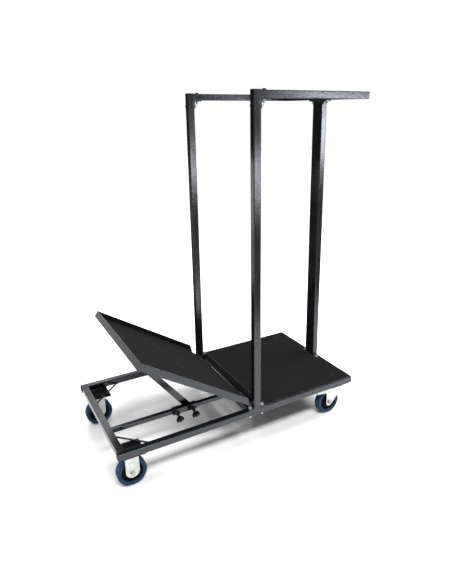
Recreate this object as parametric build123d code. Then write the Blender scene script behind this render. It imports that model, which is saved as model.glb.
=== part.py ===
from build123d import *
import math
import os

# A chair dolly: a tube base on four casters, a decked half with a post frame above it,
# and a hinged tray on the other half, propped by a strut on a clamped slider.
# Millimetres. X runs along the side rails with the tray end at -X, Y runs across with the
# clamping knobs on the -Y half, Z is up from the floor. The origin is on the floor under
# the middle of the base.

# Overall sizes
BASE_LENGTH = 1200.0
BASE_WIDTH = 630.0
FRAME_HEIGHT = 1560.0

# Square steel tube of the base and the top bars, and its end caps
TUBE = 30.0
TUBE_WALL = 2.0
TUBE_RADIUS = 3.0
CAP_FLANGE = 2.0
CAP_PLUG = 12.0

# Clearances: around plugs, between moving faces, around turning pins and around bolts
PLUG_GAP = 0.2
FACE_GAP = 0.3
PIN_GAP = 0.2
BOLT_GAP = 0.2

# Cross members of the base: X of the two in the middle, how far the deck bearer stands in from
# the beam at the deck end, and the thin tube of the bearer and the slider rail
HINGE_BEAM_X = 18.0
DECK_BEAM_X = 77.0
DECK_BEARER_INSET = 60.0
THIN_TUBE = 20.0
THIN_RADIUS = 2.0

# Round stays across the two corners at the tray end
STAY_DIAMETER = 8.0
STAY_REACH = 138.0

# Caster pads under the corners, set in from the outer faces of the base
PAD_LENGTH = 108.0
PAD_WIDTH = 104.0
PAD_THICKNESS = 8.0
PAD_INSET = 9.0

# Casters. The swivel fork's top reaches back and front of its king pin, and its guard ear stands
# over the trailing side of the tyre, deeper at the root than at the tip
CASTER_HEIGHT = 156.0
WHEEL_DIAMETER = 125.0
TYRE_WIDTH = 36.0
TYRE_SHOULDER = 3.0
RIM_DIAMETER = 94.0
RIM_WIDTH = 31.0
RIM_WALL = 6.0
WEB_THICKNESS = 12.0
HUB_DIAMETER = 36.0
HUB_WIDTH = 42.0
SLEEVE_DIAMETER = 16.0
AXLE_DIAMETER = 10.0
AXLE_HEAD = 17.0
AXLE_HEAD_HEIGHT = 6.5
AXLE_NUT_HEIGHT = 8.0
FORK_SHEET = 3.5
FIXED_FORK_WIDTH = 58.0
FIXED_FORK_RISE = 8.5
SWIVEL_FORK_BACK = 62.0
SWIVEL_FORK_FRONT = 50.0
SWIVEL_FORK_TIP = 38.0
SWIVEL_TRAIL = 44.0
GUARD_LENGTH = 62.0
GUARD_ROOT = 24.0
GUARD_TIP = 15.0
PLATE_LENGTH = 100.0
PLATE_WIDTH = 85.0
PLATE_THICKNESS = 3.5
PLATE_BOLT_X = 80.0
PLATE_BOLT_Y = 68.0
PLATE_BOLT_LENGTH = 11.0
RACE_DIAMETER = 68.0
RACE_HEIGHT = 6.0
FORK_HEAD_HEIGHT = 4.0
KING_PIN_DIAMETER = 12.0
KING_HEAD_DIAMETER = 26.0
KING_HEAD_HEIGHT = 5.0

# Hexagon bolts of the posts, bars and caster plates, and the domed cap nuts of the posts and bars
BOLT_DIAMETER = 8.0
BOLT_LENGTH = 46.0
BOLT_HEAD = 13.0
BOLT_HEAD_HEIGHT = 5.3
NUT_HEIGHT = 15.0
NUT_HEX_HEIGHT = 7.0
NUT_DOME = 12.0
NUT_BORE = 12.5

# Deck board, set in a little from the rails' outer faces, and its countersunk screws
DECK_START = 80.0
DECK_SIDE_INSET = 4.0
DECK_THICKNESS = 4.0
DECK_CLEARANCE = 3.0
SCREW_INSET = 30.0
SCREW_DIAMETER = 4.0
SCREW_HEAD = 9.0
SCREW_LENGTH = 16.0

# Posts, their welded plates and the brackets under the top bars. The side posts are as wide across
# as the square tube and deeper along X, the end post is wider across
POST_X = 42.0
POST_DEPTH = 34.0
FOOT_LENGTH = 90.0
FOOT_THICKNESS = 6.0
FOOT_BOLT_SPACING = 62.0
END_POST_WIDTH = 70.0
END_PLATE_LENGTH = 130.0
END_BOLT_SPACING = 102.0
BRACKET_LEG = 38.0
BRACKET_WIDTH = 24.0
BRACKET_THICKNESS = 4.0
BRACKET_BOLT_OUT = 20.0
BRACKET_BOLT_DOWN = 27.0

# Tray: angle lips around a board, tilted up about the hinge line and set in from the base's sides.
# The first cross bar and the board start short of the hinge line, the board later than the bar
TRAY_ANGLE = 32.6
TRAY_SIDE_INSET = 3.0
LIP_HEIGHT = 30.0
LIP_LEG = 30.0
LIP_THICKNESS = 3.0
LIP_CUT = 26.0
LIP_CLEARANCE = 5.0
CROSS_BAR_WIDTH = 70.0
CROSS_BAR_START = 16.0
BOARD_THICKNESS = 4.0
BOARD_START = 68.0
BOARD_GAP = 0.5

# Butt hinges between the hinge beam and the tray
HINGE_SPACING = 380.0
HINGE_LENGTH = 80.0
HINGE_MIDDLE = 38.0
KNUCKLE = 10.0
KNUCKLE_GAP = 1.0
HINGE_PIN = 5.0
LEAF_THICKNESS = 3.0
LEAF_DEPTH = 25.0
LEAF_LENGTH = 40.0

# Strut, slider and clamping knobs. The knobs' axes meet the slider's near face below the middle of
# its rail and lean down from there
STRUT_LENGTH = 392.0
STRUT_WIDTH = 30.0
STRUT_TIP_WIDTH = 26.0
STRUT_THICKNESS = 8.0
LUG_INSET = 70.3
LUG_LENGTH = 60.0
LUG_RADIUS = 12.0
LUG_THICKNESS = 5.0
LUG_SLOT_ALONG = 16.0
LUG_SLOT_UP = 7.3
LUG_SLOT_GAP = 0.9
PIVOT_PIN = 8.0
PIVOT_HEAD = 16.0
PIVOT_HEAD_HEIGHT = 3.0
PIVOT_BOSS = 22.0
PIVOT_BOSS_HEIGHT = 5.0
SLIDER_RAIL_Y = -107.0
SLIDER_RAIL_DROP = 8.0
SLIDER_LENGTH = 118.0
SLIDER_LEAD = 23.0
SLIDER_WALL = 2.0
SLIDER_SIDE_GAP = 0.5
SLIDER_LOW_GAP = 3.0
SLIDER_TOP_GAP = 0.4
KNOB_SPACING = 78.0
KNOB_LEAN = 28.0
KNOB_DROP = 8.0
KNOB_BOSS = 18.0
KNOB_BOSS_HEIGHT = 12.0
KNOB_REACH = 22.0
KNOB_HUB = 17.0
KNOB_HUB_HEIGHT = 7.0
KNOB_HEAD_HEIGHT = 13.0
KNOB_DIAMETER = 36.0
KNOB_LOBES = 5
KNOB_LOBE_DIAMETER = 12.0
KNOB_EDGE = 2.0
KNOB_STUD = 8.0
KNOB_SOCKET = 14.0

# Heights and places that follow from the sizes above
rail_bottom = CASTER_HEIGHT + PAD_THICKNESS
rail_middle = rail_bottom + TUBE / 2
rail_top = rail_bottom + TUBE
deck_top = rail_top + DECK_THICKNESS
bar_top = FRAME_HEIGHT - CAP_FLANGE
bar_bottom = bar_top - TUBE
bar_middle = bar_top - TUBE / 2
rail_y = BASE_WIDTH / 2 - TUBE / 2
rail_inside_y = BASE_WIDTH / 2 - TUBE
steel_end = BASE_LENGTH / 2 - CAP_FLANGE
end_x = steel_end - TUBE / 2
beam_inside_x = steel_end - TUBE
deck_bearer_x = end_x - DECK_BEARER_INSET
screw_y = rail_inside_y - SCREW_INSET
caster_x = BASE_LENGTH / 2 - PAD_INSET - PAD_LENGTH / 2
caster_y = BASE_WIDTH / 2 - PAD_INSET - PAD_WIDTH / 2
axle_z = WHEEL_DIAMETER / 2
plate_bottom = CASTER_HEIGHT - PLATE_THICKNESS
fork_inside = HUB_WIDTH + 2 * FACE_GAP
fork_outside = fork_inside + 2 * FORK_SHEET
race_bottom = plate_bottom - RACE_HEIGHT
fork_head_top = race_bottom - FACE_GAP
crown_top = fork_head_top - FORK_HEAD_HEIGHT
crown_bottom = crown_top - FORK_SHEET
foot_left = POST_X - FOOT_LENGTH / 2
foot_right = POST_X + FOOT_LENGTH / 2
post_left = POST_X - POST_DEPTH / 2
post_face = POST_X + POST_DEPTH / 2
hinge_beam_face = HINGE_BEAM_X + TUBE / 2
hinge_x = hinge_beam_face + KNUCKLE / 2 + FACE_GAP
hinge_z = rail_top + LEAF_THICKNESS / 2 + FACE_GAP

# Tray places, measured along the tray from the hinge line and up from the hinge plane
tray_floor = LEAF_THICKNESS / 2
board_bottom = tray_floor + LIP_THICKNESS
tray_length = hinge_x + steel_end
tray_width = BASE_WIDTH - 2 * TRAY_SIDE_INSET
lug_at = tray_length - LUG_INSET
lip_start = hinge_x - foot_left + LIP_CLEARANCE
leg_inside_y = tray_width / 2 - LIP_LEG

# Strut and slider places in the propped position
slider_rail_top = rail_top - SLIDER_RAIL_DROP
pivot_z = slider_rail_top - THIN_TUBE / 2
lug_drop = hinge_z - pivot_z
tilt = math.radians(TRAY_ANGLE)
lug_x = hinge_x - lug_at * math.cos(tilt) - lug_drop * math.sin(tilt)
lug_z = hinge_z + lug_at * math.sin(tilt) - lug_drop * math.cos(tilt)
strut_angle = math.asin((lug_z - pivot_z) / STRUT_LENGTH)
pivot_x = lug_x + STRUT_LENGTH * math.cos(strut_angle)
slider_inside_y = THIN_TUBE + 2 * SLIDER_SIDE_GAP
slider_inside_z = THIN_TUBE + SLIDER_LOW_GAP + SLIDER_TOP_GAP
slider_far_y = SLIDER_RAIL_Y + slider_inside_y / 2 + SLIDER_WALL
slider_near_y = SLIDER_RAIL_Y - slider_inside_y / 2 - SLIDER_WALL
slider_x = pivot_x - SLIDER_LEAD
slider_z = pivot_z + (SLIDER_TOP_GAP - SLIDER_LOW_GAP) / 2
knob_z = pivot_z - KNOB_DROP
knob_lean = math.radians(KNOB_LEAN)
strut_near_y = slider_far_y + PIVOT_BOSS_HEIGHT + FACE_GAP
strut_far_y = strut_near_y + STRUT_THICKNESS
lug_near_y = strut_far_y + FACE_GAP


def box_between(low, high):
    """Block between two opposite corners."""
    size = [b - a for a, b in zip(low, high)]
    middle = [(a + b) / 2 for a, b in zip(low, high)]
    return Pos(*middle) * Box(*size)


def rod_z(diameter, bottom, top, x=0.0, y=0.0):
    """Upright cylinder between two heights."""
    return Pos(x, y, (bottom + top) / 2) * Cylinder(diameter / 2, top - bottom)


def rod_y(diameter, low, high, x=0.0, z=0.0):
    """Cylinder along Y between two places."""
    return Pos(x, (low + high) / 2, z) * Rot(90, 0, 0) * Cylinder(diameter / 2, high - low)


def rod_x(diameter, low, high, y=0.0, z=0.0):
    """Cylinder along X between two places."""
    return Pos((low + high) / 2, y, z) * Rot(0, 90, 0) * Cylinder(diameter / 2, high - low)


def tube(plane, length, width, height, radius):
    """Hollow rectangular tube, centred on its middle, running along the plane's normal."""
    inner_radius = max(radius - TUBE_WALL, radius / 4)
    outer = RectangleRounded(width, height, radius)
    inner = RectangleRounded(width - 2 * TUBE_WALL, height - 2 * TUBE_WALL, inner_radius)
    return extrude(plane * (outer - inner), amount=length / 2, both=True)


def bolt_hole_z(x, y, bottom, top):
    """Upright cutter for one frame bolt."""
    return rod_z(BOLT_DIAMETER + 2 * BOLT_GAP, bottom, top, x, y)


def hexagon(across, height):
    """Hexagonal block standing on its base."""
    return extrude(RegularPolygon(across / 2, 6, major_radius=False), amount=height)


def hex_bolt(diameter, across, head_height, length):
    """Bolt with its head above and its shank below the seat at the origin."""
    return hexagon(across, head_height) + rod_z(diameter, -length, 0)


def hex_nut(diameter, across, height):
    """Nut hanging below its seat at the origin."""
    return Pos(0, 0, -height) * hexagon(across, height) - rod_z(diameter, -height, 0)


def cap_nut():
    """Domed nut of a frame bolt, hanging below its seat at the origin and bored from the seat."""
    dome_z = NUT_DOME / 2 - NUT_HEIGHT
    nut = Pos(0, 0, -NUT_HEX_HEIGHT) * hexagon(BOLT_HEAD, NUT_HEX_HEIGHT)
    nut += rod_z(NUT_DOME, dome_z, -NUT_HEX_HEIGHT) + Pos(0, 0, dome_z) * Sphere(NUT_DOME / 2)
    return nut - rod_z(BOLT_DIAMETER, -NUT_BORE, 0)


def on_tray(piece):
    """Turn a piece drawn on the level tray about the hinge line to the propped position."""
    return Pos(hinge_x, 0, hinge_z) * Rot(0, TRAY_ANGLE, 0) * piece


def corners():
    """Signs of the four caster corners, as (along, across)."""
    return [(along, across) for along in (-1, 1) for across in (-1, 1)]


def side_foot_bolts(side):
    """Places of the two bolts through one side post's foot."""
    return [(POST_X + half * FOOT_BOLT_SPACING / 2, side * rail_y) for half in (-1, 1)]


def end_plate_bolts():
    """Places of the two bolts through each plate of the end post."""
    return [(end_x, half * END_BOLT_SPACING / 2) for half in (-1, 1)]


def side_rail(side):
    """Full-length side rail, drilled for its post's foot."""
    rail = Pos(0, side * rail_y, rail_middle) * tube(Plane.YZ, 2 * steel_end, TUBE, TUBE, TUBE_RADIUS)
    for x, y in side_foot_bolts(side):
        rail -= bolt_hole_z(x, y, rail_bottom, rail_top)
    return rail


def cross_beam(x):
    """Cross beam between the side rails."""
    return Pos(x, 0, rail_middle) * tube(Plane.XZ, 2 * rail_inside_y, TUBE, TUBE, TUBE_RADIUS)


def deck_end_beam():
    """Cross beam at the deck end, drilled for the end post's foot."""
    beam = cross_beam(end_x)
    for x, y in end_plate_bolts():
        beam -= bolt_hole_z(x, y, rail_bottom, rail_top)
    return beam


def deck_bearer():
    """Thin tube across the base under the deck board, drilled for the deck screws."""
    middle = rail_top - THIN_TUBE / 2
    bearer = Pos(deck_bearer_x, 0, middle) * tube(Plane.XZ, 2 * rail_inside_y, THIN_TUBE, THIN_TUBE, THIN_RADIUS)
    for x, y in screw_places():
        bearer -= rod_z(SCREW_DIAMETER, middle, rail_top, x, y)
    return bearer


def slider_rail():
    """Thin tube along the base that the slider runs on."""
    start = -beam_inside_x
    finish = HINGE_BEAM_X - TUBE / 2
    rail = tube(Plane.YZ, finish - start, THIN_TUBE, THIN_TUBE, THIN_RADIUS)
    return Pos((start + finish) / 2, SLIDER_RAIL_Y, pivot_z) * rail


def corner_stays():
    """Round bars across the two tray-end corners, lying on the caster pads."""
    low = (-beam_inside_x, -rail_inside_y, rail_bottom)
    high = (beam_inside_x, rail_inside_y, rail_top)
    opening = box_between(low, high)
    stays = []
    for side in (-1, 1):
        x = -beam_inside_x + STAY_REACH / 2
        y = side * (rail_inside_y - STAY_REACH / 2)
        place = Pos(x, y, rail_bottom + STAY_DIAMETER / 2) * Rot(0, 0, side * 45)
        bar = place * Rot(0, 90, 0) * Cylinder(STAY_DIAMETER / 2, 2 * STAY_REACH)
        stays.append(bar & opening)
    return stays


def caster_bolt_places(along, across):
    """Places of the four bolts of one caster plate."""
    halves = [(dx, dy) for dx in (-1, 1) for dy in (-1, 1)]
    return [
        (along * caster_x + dx * PLATE_BOLT_X / 2, across * caster_y + dy * PLATE_BOLT_Y / 2)
        for dx, dy in halves
    ]


def caster_pads():
    """Thick plates under the four corners, tapped for the caster bolts."""
    pads = []
    for along, across in corners():
        place = Pos(along * caster_x, across * caster_y, CASTER_HEIGHT + PAD_THICKNESS / 2)
        pad = place * Box(PAD_LENGTH, PAD_WIDTH, PAD_THICKNESS)
        for x, y in caster_bolt_places(along, across):
            pad -= rod_z(BOLT_DIAMETER, CASTER_HEIGHT, rail_bottom, x, y)
        pads.append(pad)
    return pads


def tube_cap(depth):
    """Push-in cap for a tube of one depth along X, with its flange above the tube's end at the origin."""
    slack = 2 * TUBE_WALL + 2 * PLUG_GAP
    flange = extrude(RectangleRounded(depth, TUBE, TUBE_RADIUS), amount=CAP_FLANGE)
    plug_outline = RectangleRounded(depth - slack, TUBE - slack, TUBE_RADIUS - TUBE_WALL)
    return flange + extrude(plug_outline, amount=-CAP_PLUG)


def tube_end_caps():
    """Caps in the rail ends, the side post tops and the free ends of the top bars."""
    caps = []
    for side in (-1, 1):
        for end in (-1, 1):
            caps.append(Pos(end * steel_end, side * rail_y, rail_middle) * Rot(0, end * 90, 0) * tube_cap(TUBE))
        caps.append(Pos(POST_X, side * rail_y, bar_top) * tube_cap(POST_DEPTH))
        caps.append(Pos(steel_end, side * rail_y, bar_middle) * Rot(0, 90, 0) * tube_cap(TUBE))
    return caps


def screw_places():
    """Places of the deck screws."""
    return [(deck_bearer_x, side * screw_y) for side in (-1, 1)]


def deck_screw():
    """Countersunk screw with its flat head at the origin."""
    head_depth = (SCREW_HEAD - SCREW_DIAMETER) / 2
    head = Pos(0, 0, -head_depth / 2) * Cone(SCREW_DIAMETER / 2, SCREW_HEAD / 2, head_depth)
    return head + rod_z(SCREW_DIAMETER, -SCREW_LENGTH, -head_depth)


def deck_screws():
    """Screws that hold the deck board on its bearer."""
    return [Pos(x, y, deck_top) * deck_screw() for x, y in screw_places()]


def deck_board():
    """Board on top of the base, notched around the feet of the three posts."""
    half = BASE_WIDTH / 2 - DECK_SIDE_INSET
    board = box_between((DECK_START, -half, rail_top), (steel_end, half, deck_top))
    notch_x = foot_right + DECK_CLEARANCE
    notch_y = rail_inside_y - DECK_CLEARANCE
    for low_y, high_y in ((-half, -notch_y), (notch_y, half)):
        board -= box_between((DECK_START, low_y, rail_top), (notch_x, high_y, deck_top))
    end_notch_x = end_x - TUBE / 2 - DECK_CLEARANCE
    end_notch_y = END_PLATE_LENGTH / 2 + DECK_CLEARANCE
    board -= box_between((end_notch_x, -end_notch_y, rail_top), (steel_end, end_notch_y, deck_top))
    for x, y in screw_places():
        board -= Pos(x, y, deck_top) * deck_screw()
    return board


def side_post(side):
    """Side post on its foot, drilled across for the bracket's bolt."""
    bottom = rail_top + FOOT_THICKNESS
    post = tube(Plane.XY, bar_top - bottom, POST_DEPTH, TUBE, TUBE_RADIUS)
    post = Pos(POST_X, side * rail_y, (bottom + bar_top) / 2) * post
    drill = BOLT_DIAMETER + 2 * BOLT_GAP
    z = bar_bottom - BRACKET_BOLT_DOWN
    return post - rod_x(drill, post_left, post_face, side * rail_y, z)


def side_post_feet():
    """Foot plates of the side posts."""
    feet = []
    for side in (-1, 1):
        place = Pos(POST_X, side * rail_y, rail_top + FOOT_THICKNESS / 2)
        foot = place * Box(FOOT_LENGTH, TUBE, FOOT_THICKNESS)
        for x, y in side_foot_bolts(side):
            foot -= bolt_hole_z(x, y, rail_top, rail_top + FOOT_THICKNESS)
        feet.append(foot)
    return feet


def end_post():
    """Wide post at the deck end, between its two plates."""
    bottom = rail_top + FOOT_THICKNESS
    top = bar_bottom - FOOT_THICKNESS
    post = tube(Plane.XY, top - bottom, TUBE, END_POST_WIDTH, TUBE_RADIUS)
    return Pos(end_x, 0, (bottom + top) / 2) * post


def end_post_plates():
    """Foot and head plates of the end post."""
    plates = []
    for bottom in (rail_top, bar_bottom - FOOT_THICKNESS):
        top = bottom + FOOT_THICKNESS
        plate = Pos(end_x, 0, (bottom + top) / 2) * Box(TUBE, END_PLATE_LENGTH, FOOT_THICKNESS)
        for x, y in end_plate_bolts():
            plate -= bolt_hole_z(x, y, bottom, top)
        plates.append(plate)
    return plates


def bracket_bolt_x():
    """X of the upright bolts through the side bars."""
    return post_face + BRACKET_BOLT_OUT


def side_bar(side):
    """Top bar from a side post to the deck end, drilled for the bracket's bolt."""
    length = steel_end - post_face
    bar = tube(Plane.YZ, length, TUBE, TUBE, TUBE_RADIUS)
    bar = Pos(post_face + length / 2, side * rail_y, bar_middle) * bar
    return bar - bolt_hole_z(bracket_bolt_x(), side * rail_y, bar_bottom, bar_top)


def end_bar():
    """Top bar across the deck end, drilled for the end post's head plate."""
    bar = Pos(end_x, 0, bar_middle) * tube(Plane.XZ, 2 * rail_inside_y, TUBE, TUBE, TUBE_RADIUS)
    for x, y in end_plate_bolts():
        bar -= bolt_hole_z(x, y, bar_bottom, bar_top)
    return bar


def corner_brackets():
    """Angle brackets under the side bars, against the side posts."""
    brackets = []
    for side in (-1, 1):
        low_y = side * rail_y - BRACKET_WIDTH / 2
        high_y = side * rail_y + BRACKET_WIDTH / 2
        under = box_between(
            (post_face, low_y, bar_bottom - BRACKET_THICKNESS),
            (post_face + BRACKET_LEG, high_y, bar_bottom),
        )
        upright = box_between(
            (post_face, low_y, bar_bottom - BRACKET_LEG),
            (post_face + BRACKET_THICKNESS, high_y, bar_bottom),
        )
        bracket = under + upright
        bracket -= bolt_hole_z(bracket_bolt_x(), side * rail_y, bar_bottom - BRACKET_THICKNESS, bar_bottom)
        drill = BOLT_DIAMETER + 2 * BOLT_GAP
        z = bar_bottom - BRACKET_BOLT_DOWN
        bracket -= rod_x(drill, post_face, post_face + BRACKET_THICKNESS, side * rail_y, z)
        brackets.append(bracket)
    return brackets


def frame_bolt_seats():
    """Each frame bolt's place, with the head's seat at the origin, and its grip to the nut."""
    seats = []
    for side in (-1, 1):
        for x, y in side_foot_bolts(side):
            seats.append((Pos(x, y, rail_top + FOOT_THICKNESS), FOOT_THICKNESS + TUBE))
        seats.append((Pos(bracket_bolt_x(), side * rail_y, bar_top), TUBE + BRACKET_THICKNESS))
        across = Pos(post_left, side * rail_y, bar_bottom - BRACKET_BOLT_DOWN) * Rot(0, -90, 0)
        seats.append((across, POST_DEPTH + BRACKET_THICKNESS))
    for x, y in end_plate_bolts():
        seats.append((Pos(x, y, rail_top + FOOT_THICKNESS), FOOT_THICKNESS + TUBE))
        seats.append((Pos(x, y, bar_top), TUBE + FOOT_THICKNESS))
    return seats


def frame_bolts():
    """Bolts of the posts and bars."""
    bolt = hex_bolt(BOLT_DIAMETER, BOLT_HEAD, BOLT_HEAD_HEIGHT, BOLT_LENGTH)
    return [place * bolt for place, grip in frame_bolt_seats()]


def frame_nuts():
    """Cap nuts of the posts and bars."""
    return [place * Pos(0, 0, -grip) * cap_nut() for place, grip in frame_bolt_seats()]


def tray_end_lip():
    """Angle along the tray's free end."""
    end = -tray_length
    half = tray_width / 2
    wall = box_between((end, -half, tray_floor), (end + LIP_THICKNESS, half, tray_floor + LIP_HEIGHT))
    leg_half = half - LIP_THICKNESS
    leg = box_between((end, -leg_half, tray_floor), (end + LIP_LEG, leg_half, board_bottom))
    return on_tray(wall + leg)


def tray_side_lip(side):
    """Angle along one side of the tray, cut back on a slant at its hinge end."""
    outer = side * tray_width / 2
    wall_y = sorted((outer, outer - side * LIP_THICKNESS))
    leg_y = sorted((outer, outer - side * LIP_LEG))
    far_wall = -tray_length + LIP_THICKNESS
    far_leg = -tray_length + LIP_LEG
    top = tray_floor + LIP_HEIGHT
    wall = box_between((far_wall, wall_y[0], tray_floor), (-lip_start, wall_y[1], top))
    leg = box_between((far_leg, leg_y[0], tray_floor), (-lip_start, leg_y[1], board_bottom))
    slant = Polyline((-lip_start, board_bottom), (-lip_start, top), (-lip_start - LIP_CUT, top), close=True)
    cut = extrude(Plane.XZ.offset(-outer) * make_face(slant), amount=LIP_THICKNESS, both=True)
    return on_tray(wall + leg - cut)


def tray_cross_bars():
    """Flat bars across the tray, at the hinge line and over the strut's lug."""
    bars = []
    for start in (CROSS_BAR_START, lug_at - CROSS_BAR_WIDTH / 2):
        low = (-start - CROSS_BAR_WIDTH, -leg_inside_y, tray_floor)
        high = (-start, leg_inside_y, board_bottom)
        bars.append(on_tray(box_between(low, high)))
    return bars


def tray_board():
    """Board inside the lips, from over the hinge bar to the free end."""
    half = tray_width / 2 - LIP_THICKNESS - BOARD_GAP
    far = -tray_length + LIP_THICKNESS + BOARD_GAP
    top = board_bottom + BOARD_THICKNESS
    return on_tray(box_between((far, -half, board_bottom), (-BOARD_START, half, top)))


def hinge_places():
    """Y of the hinges."""
    return [half * HINGE_SPACING / 2 for half in (-1, 1)]


def hinge_frame_leaves():
    """Fixed hinge leaves on the hinge beam, with their two outer knuckles."""
    leaves = []
    half = HINGE_LENGTH / 2
    inner = HINGE_MIDDLE / 2 + KNUCKLE_GAP
    leaf_top = hinge_z - KNUCKLE / 2 - KNUCKLE_GAP
    face = hinge_beam_face
    for y in hinge_places():
        leaf = box_between(
            (face, y - half, hinge_z - LEAF_DEPTH),
            (face + LEAF_THICKNESS, y + half, leaf_top),
        )
        for low, high in ((-half, -inner), (inner, half)):
            leaf += box_between((face, y + low, leaf_top), (face + LEAF_THICKNESS, y + high, hinge_z))
            leaf += rod_y(KNUCKLE, y + low, y + high, hinge_x, hinge_z)
        leaf -= rod_y(HINGE_PIN, y - half, y + half, hinge_x, hinge_z)
        leaves.append(leaf)
    return leaves


def hinge_tray_leaves():
    """Moving hinge leaves under the tray's hinge bar, with their middle knuckle."""
    leaves = []
    half = HINGE_MIDDLE / 2
    for y in hinge_places():
        leaf = box_between((-LEAF_LENGTH, y - half, -tray_floor), (0, y + half, tray_floor))
        leaf += rod_y(KNUCKLE, y - half, y + half)
        leaf -= rod_y(HINGE_PIN + 2 * PIN_GAP, y - half, y + half)
        leaves.append(on_tray(leaf))
    return leaves


def hinge_pins():
    """Pins held in the fixed knuckles."""
    half = HINGE_LENGTH / 2
    return [rod_y(HINGE_PIN, y - half, y + half, hinge_x, hinge_z) for y in hinge_places()]


def strut_lug():
    """Lug under the tray, slotted for the pin at the strut's upper end."""
    near = (-lug_at, -lug_drop)
    far = (-lug_at - LUG_SLOT_ALONG, LUG_SLOT_UP - lug_drop)
    top = Line((-lug_at - LUG_LENGTH / 2, tray_floor), (-lug_at + LUG_LENGTH / 2, tray_floor))
    tips = [CenterArc(place, LUG_RADIUS, 0, 360) for place in (near, far)]
    outline = make_hull(ShapeList([*top.edges(), *tips[0].edges(), *tips[1].edges()]))
    slot = SlotCenterPoint(
        ((near[0] + far[0]) / 2, (near[1] + far[1]) / 2), far, PIVOT_PIN + 2 * LUG_SLOT_GAP
    )
    lug = extrude(Plane.XZ.offset(-lug_near_y) * (outline - slot), amount=-LUG_THICKNESS)
    return on_tray(lug)


def lug_pin():
    """Pin held in the strut's upper end, with a head on each side of the strut and lug."""
    lug_side = lug_near_y + LUG_THICKNESS + FACE_GAP
    shank = rod_y(PIVOT_PIN, strut_near_y, lug_side, lug_x, lug_z)
    inner_head = rod_y(PIVOT_HEAD, strut_near_y - PIVOT_HEAD_HEIGHT, strut_near_y, lug_x, lug_z)
    outer_head = rod_y(PIVOT_HEAD, lug_side, lug_side + PIVOT_HEAD_HEIGHT, lug_x, lug_z)
    return shank + inner_head + outer_head


def slider_pin():
    """Headed pin fixed in the slider's boss, on which the strut's lower end turns."""
    head_start = strut_far_y + FACE_GAP
    shank = rod_y(PIVOT_PIN, slider_far_y, head_start, pivot_x, pivot_z)
    return shank + rod_y(PIVOT_HEAD, head_start, head_start + PIVOT_HEAD_HEIGHT, pivot_x, pivot_z)


def strut():
    """Flat prop from the tray's lug down to the slider, a little narrower at the lug."""
    tip = CenterArc((lug_x, lug_z), STRUT_TIP_WIDTH / 2, 0, 360)
    foot = CenterArc((pivot_x, pivot_z), STRUT_WIDTH / 2, 0, 360)
    outline = make_hull(ShapeList([*tip.edges(), *foot.edges()]))
    bar = extrude(Plane.XZ.offset(-strut_near_y) * outline, amount=-STRUT_THICKNESS)
    bar -= rod_y(PIVOT_PIN, strut_near_y, strut_far_y, lug_x, lug_z)
    return bar - rod_y(PIVOT_PIN + 2 * PIN_GAP, strut_near_y, strut_far_y, pivot_x, pivot_z)


def knob_places():
    """X of the two clamping knobs on the slider."""
    return [slider_x + half * KNOB_SPACING / 2 for half in (-1, 1)]


def on_knob(x, piece):
    """Lay a piece that stands on the origin along one knob's axis, outward from the slider's near face."""
    return Pos(x, slider_near_y, knob_z) * Rot(90 + KNOB_LEAN, 0, 0) * piece


def slider_sleeve():
    """Sleeve around the slider rail, with the boss of the strut's lower pivot."""
    height = slider_inside_z + 2 * SLIDER_WALL
    width = slider_inside_y + 2 * SLIDER_WALL
    outer = Box(SLIDER_LENGTH, width, height)
    inner = Box(SLIDER_LENGTH, slider_inside_y, slider_inside_z)
    sleeve = Pos(slider_x, SLIDER_RAIL_Y, slider_z) * (outer - inner)
    boss_end = slider_far_y + PIVOT_BOSS_HEIGHT
    sleeve += rod_y(PIVOT_BOSS, slider_far_y, boss_end, pivot_x, pivot_z)
    sleeve -= rod_y(PIVOT_PIN, slider_far_y, boss_end, pivot_x, pivot_z)
    for x in knob_places():
        sleeve -= on_knob(x, rod_z(KNOB_STUD + 2 * PIN_GAP, -KNOB_STUD, KNOB_STUD))
    return sleeve


def knob_bosses():
    """Threaded bosses welded on the slider's near face, leaning down with the knobs."""
    bosses = []
    for x in knob_places():
        low = (x - KNOB_BOSS, slider_near_y, knob_z - KNOB_BOSS)
        high = (x + KNOB_BOSS, slider_near_y + KNOB_BOSS, knob_z + KNOB_BOSS)
        boss = rod_z(KNOB_BOSS, -KNOB_BOSS / 2, KNOB_BOSS_HEIGHT)
        boss -= rod_z(KNOB_STUD + 2 * PIN_GAP, -KNOB_BOSS / 2, KNOB_BOSS_HEIGHT)
        bosses.append(on_knob(x, boss) - box_between(low, high))
    return bosses


def knob_head(x):
    """Lobed grip at the outer end of a clamping screw."""
    reach = (KNOB_DIAMETER - KNOB_LOBE_DIAMETER) / 2
    outline = Circle(reach)
    outline += PolarLocations(reach, KNOB_LOBES) * Circle(KNOB_LOBE_DIAMETER / 2)
    grip = extrude(outline, amount=KNOB_HEAD_HEIGHT)
    grip = fillet(grip.faces().sort_by(Axis.Z)[-1].edges(), KNOB_EDGE)
    grip_start = KNOB_REACH + KNOB_HUB_HEIGHT
    head = Pos(0, 0, grip_start) * grip + rod_z(KNOB_HUB, KNOB_REACH, grip_start)
    return on_knob(x, head - rod_z(KNOB_STUD, KNOB_REACH, KNOB_REACH + KNOB_SOCKET))


def knob_stud(x):
    """Clamping screw from the grip to just short of the slider rail's near face."""
    gap = SLIDER_WALL + SLIDER_SIDE_GAP - FACE_GAP - KNOB_STUD / 2 * math.sin(knob_lean)
    return on_knob(x, rod_z(KNOB_STUD, -gap / math.cos(knob_lean), KNOB_REACH + KNOB_SOCKET))


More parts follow.
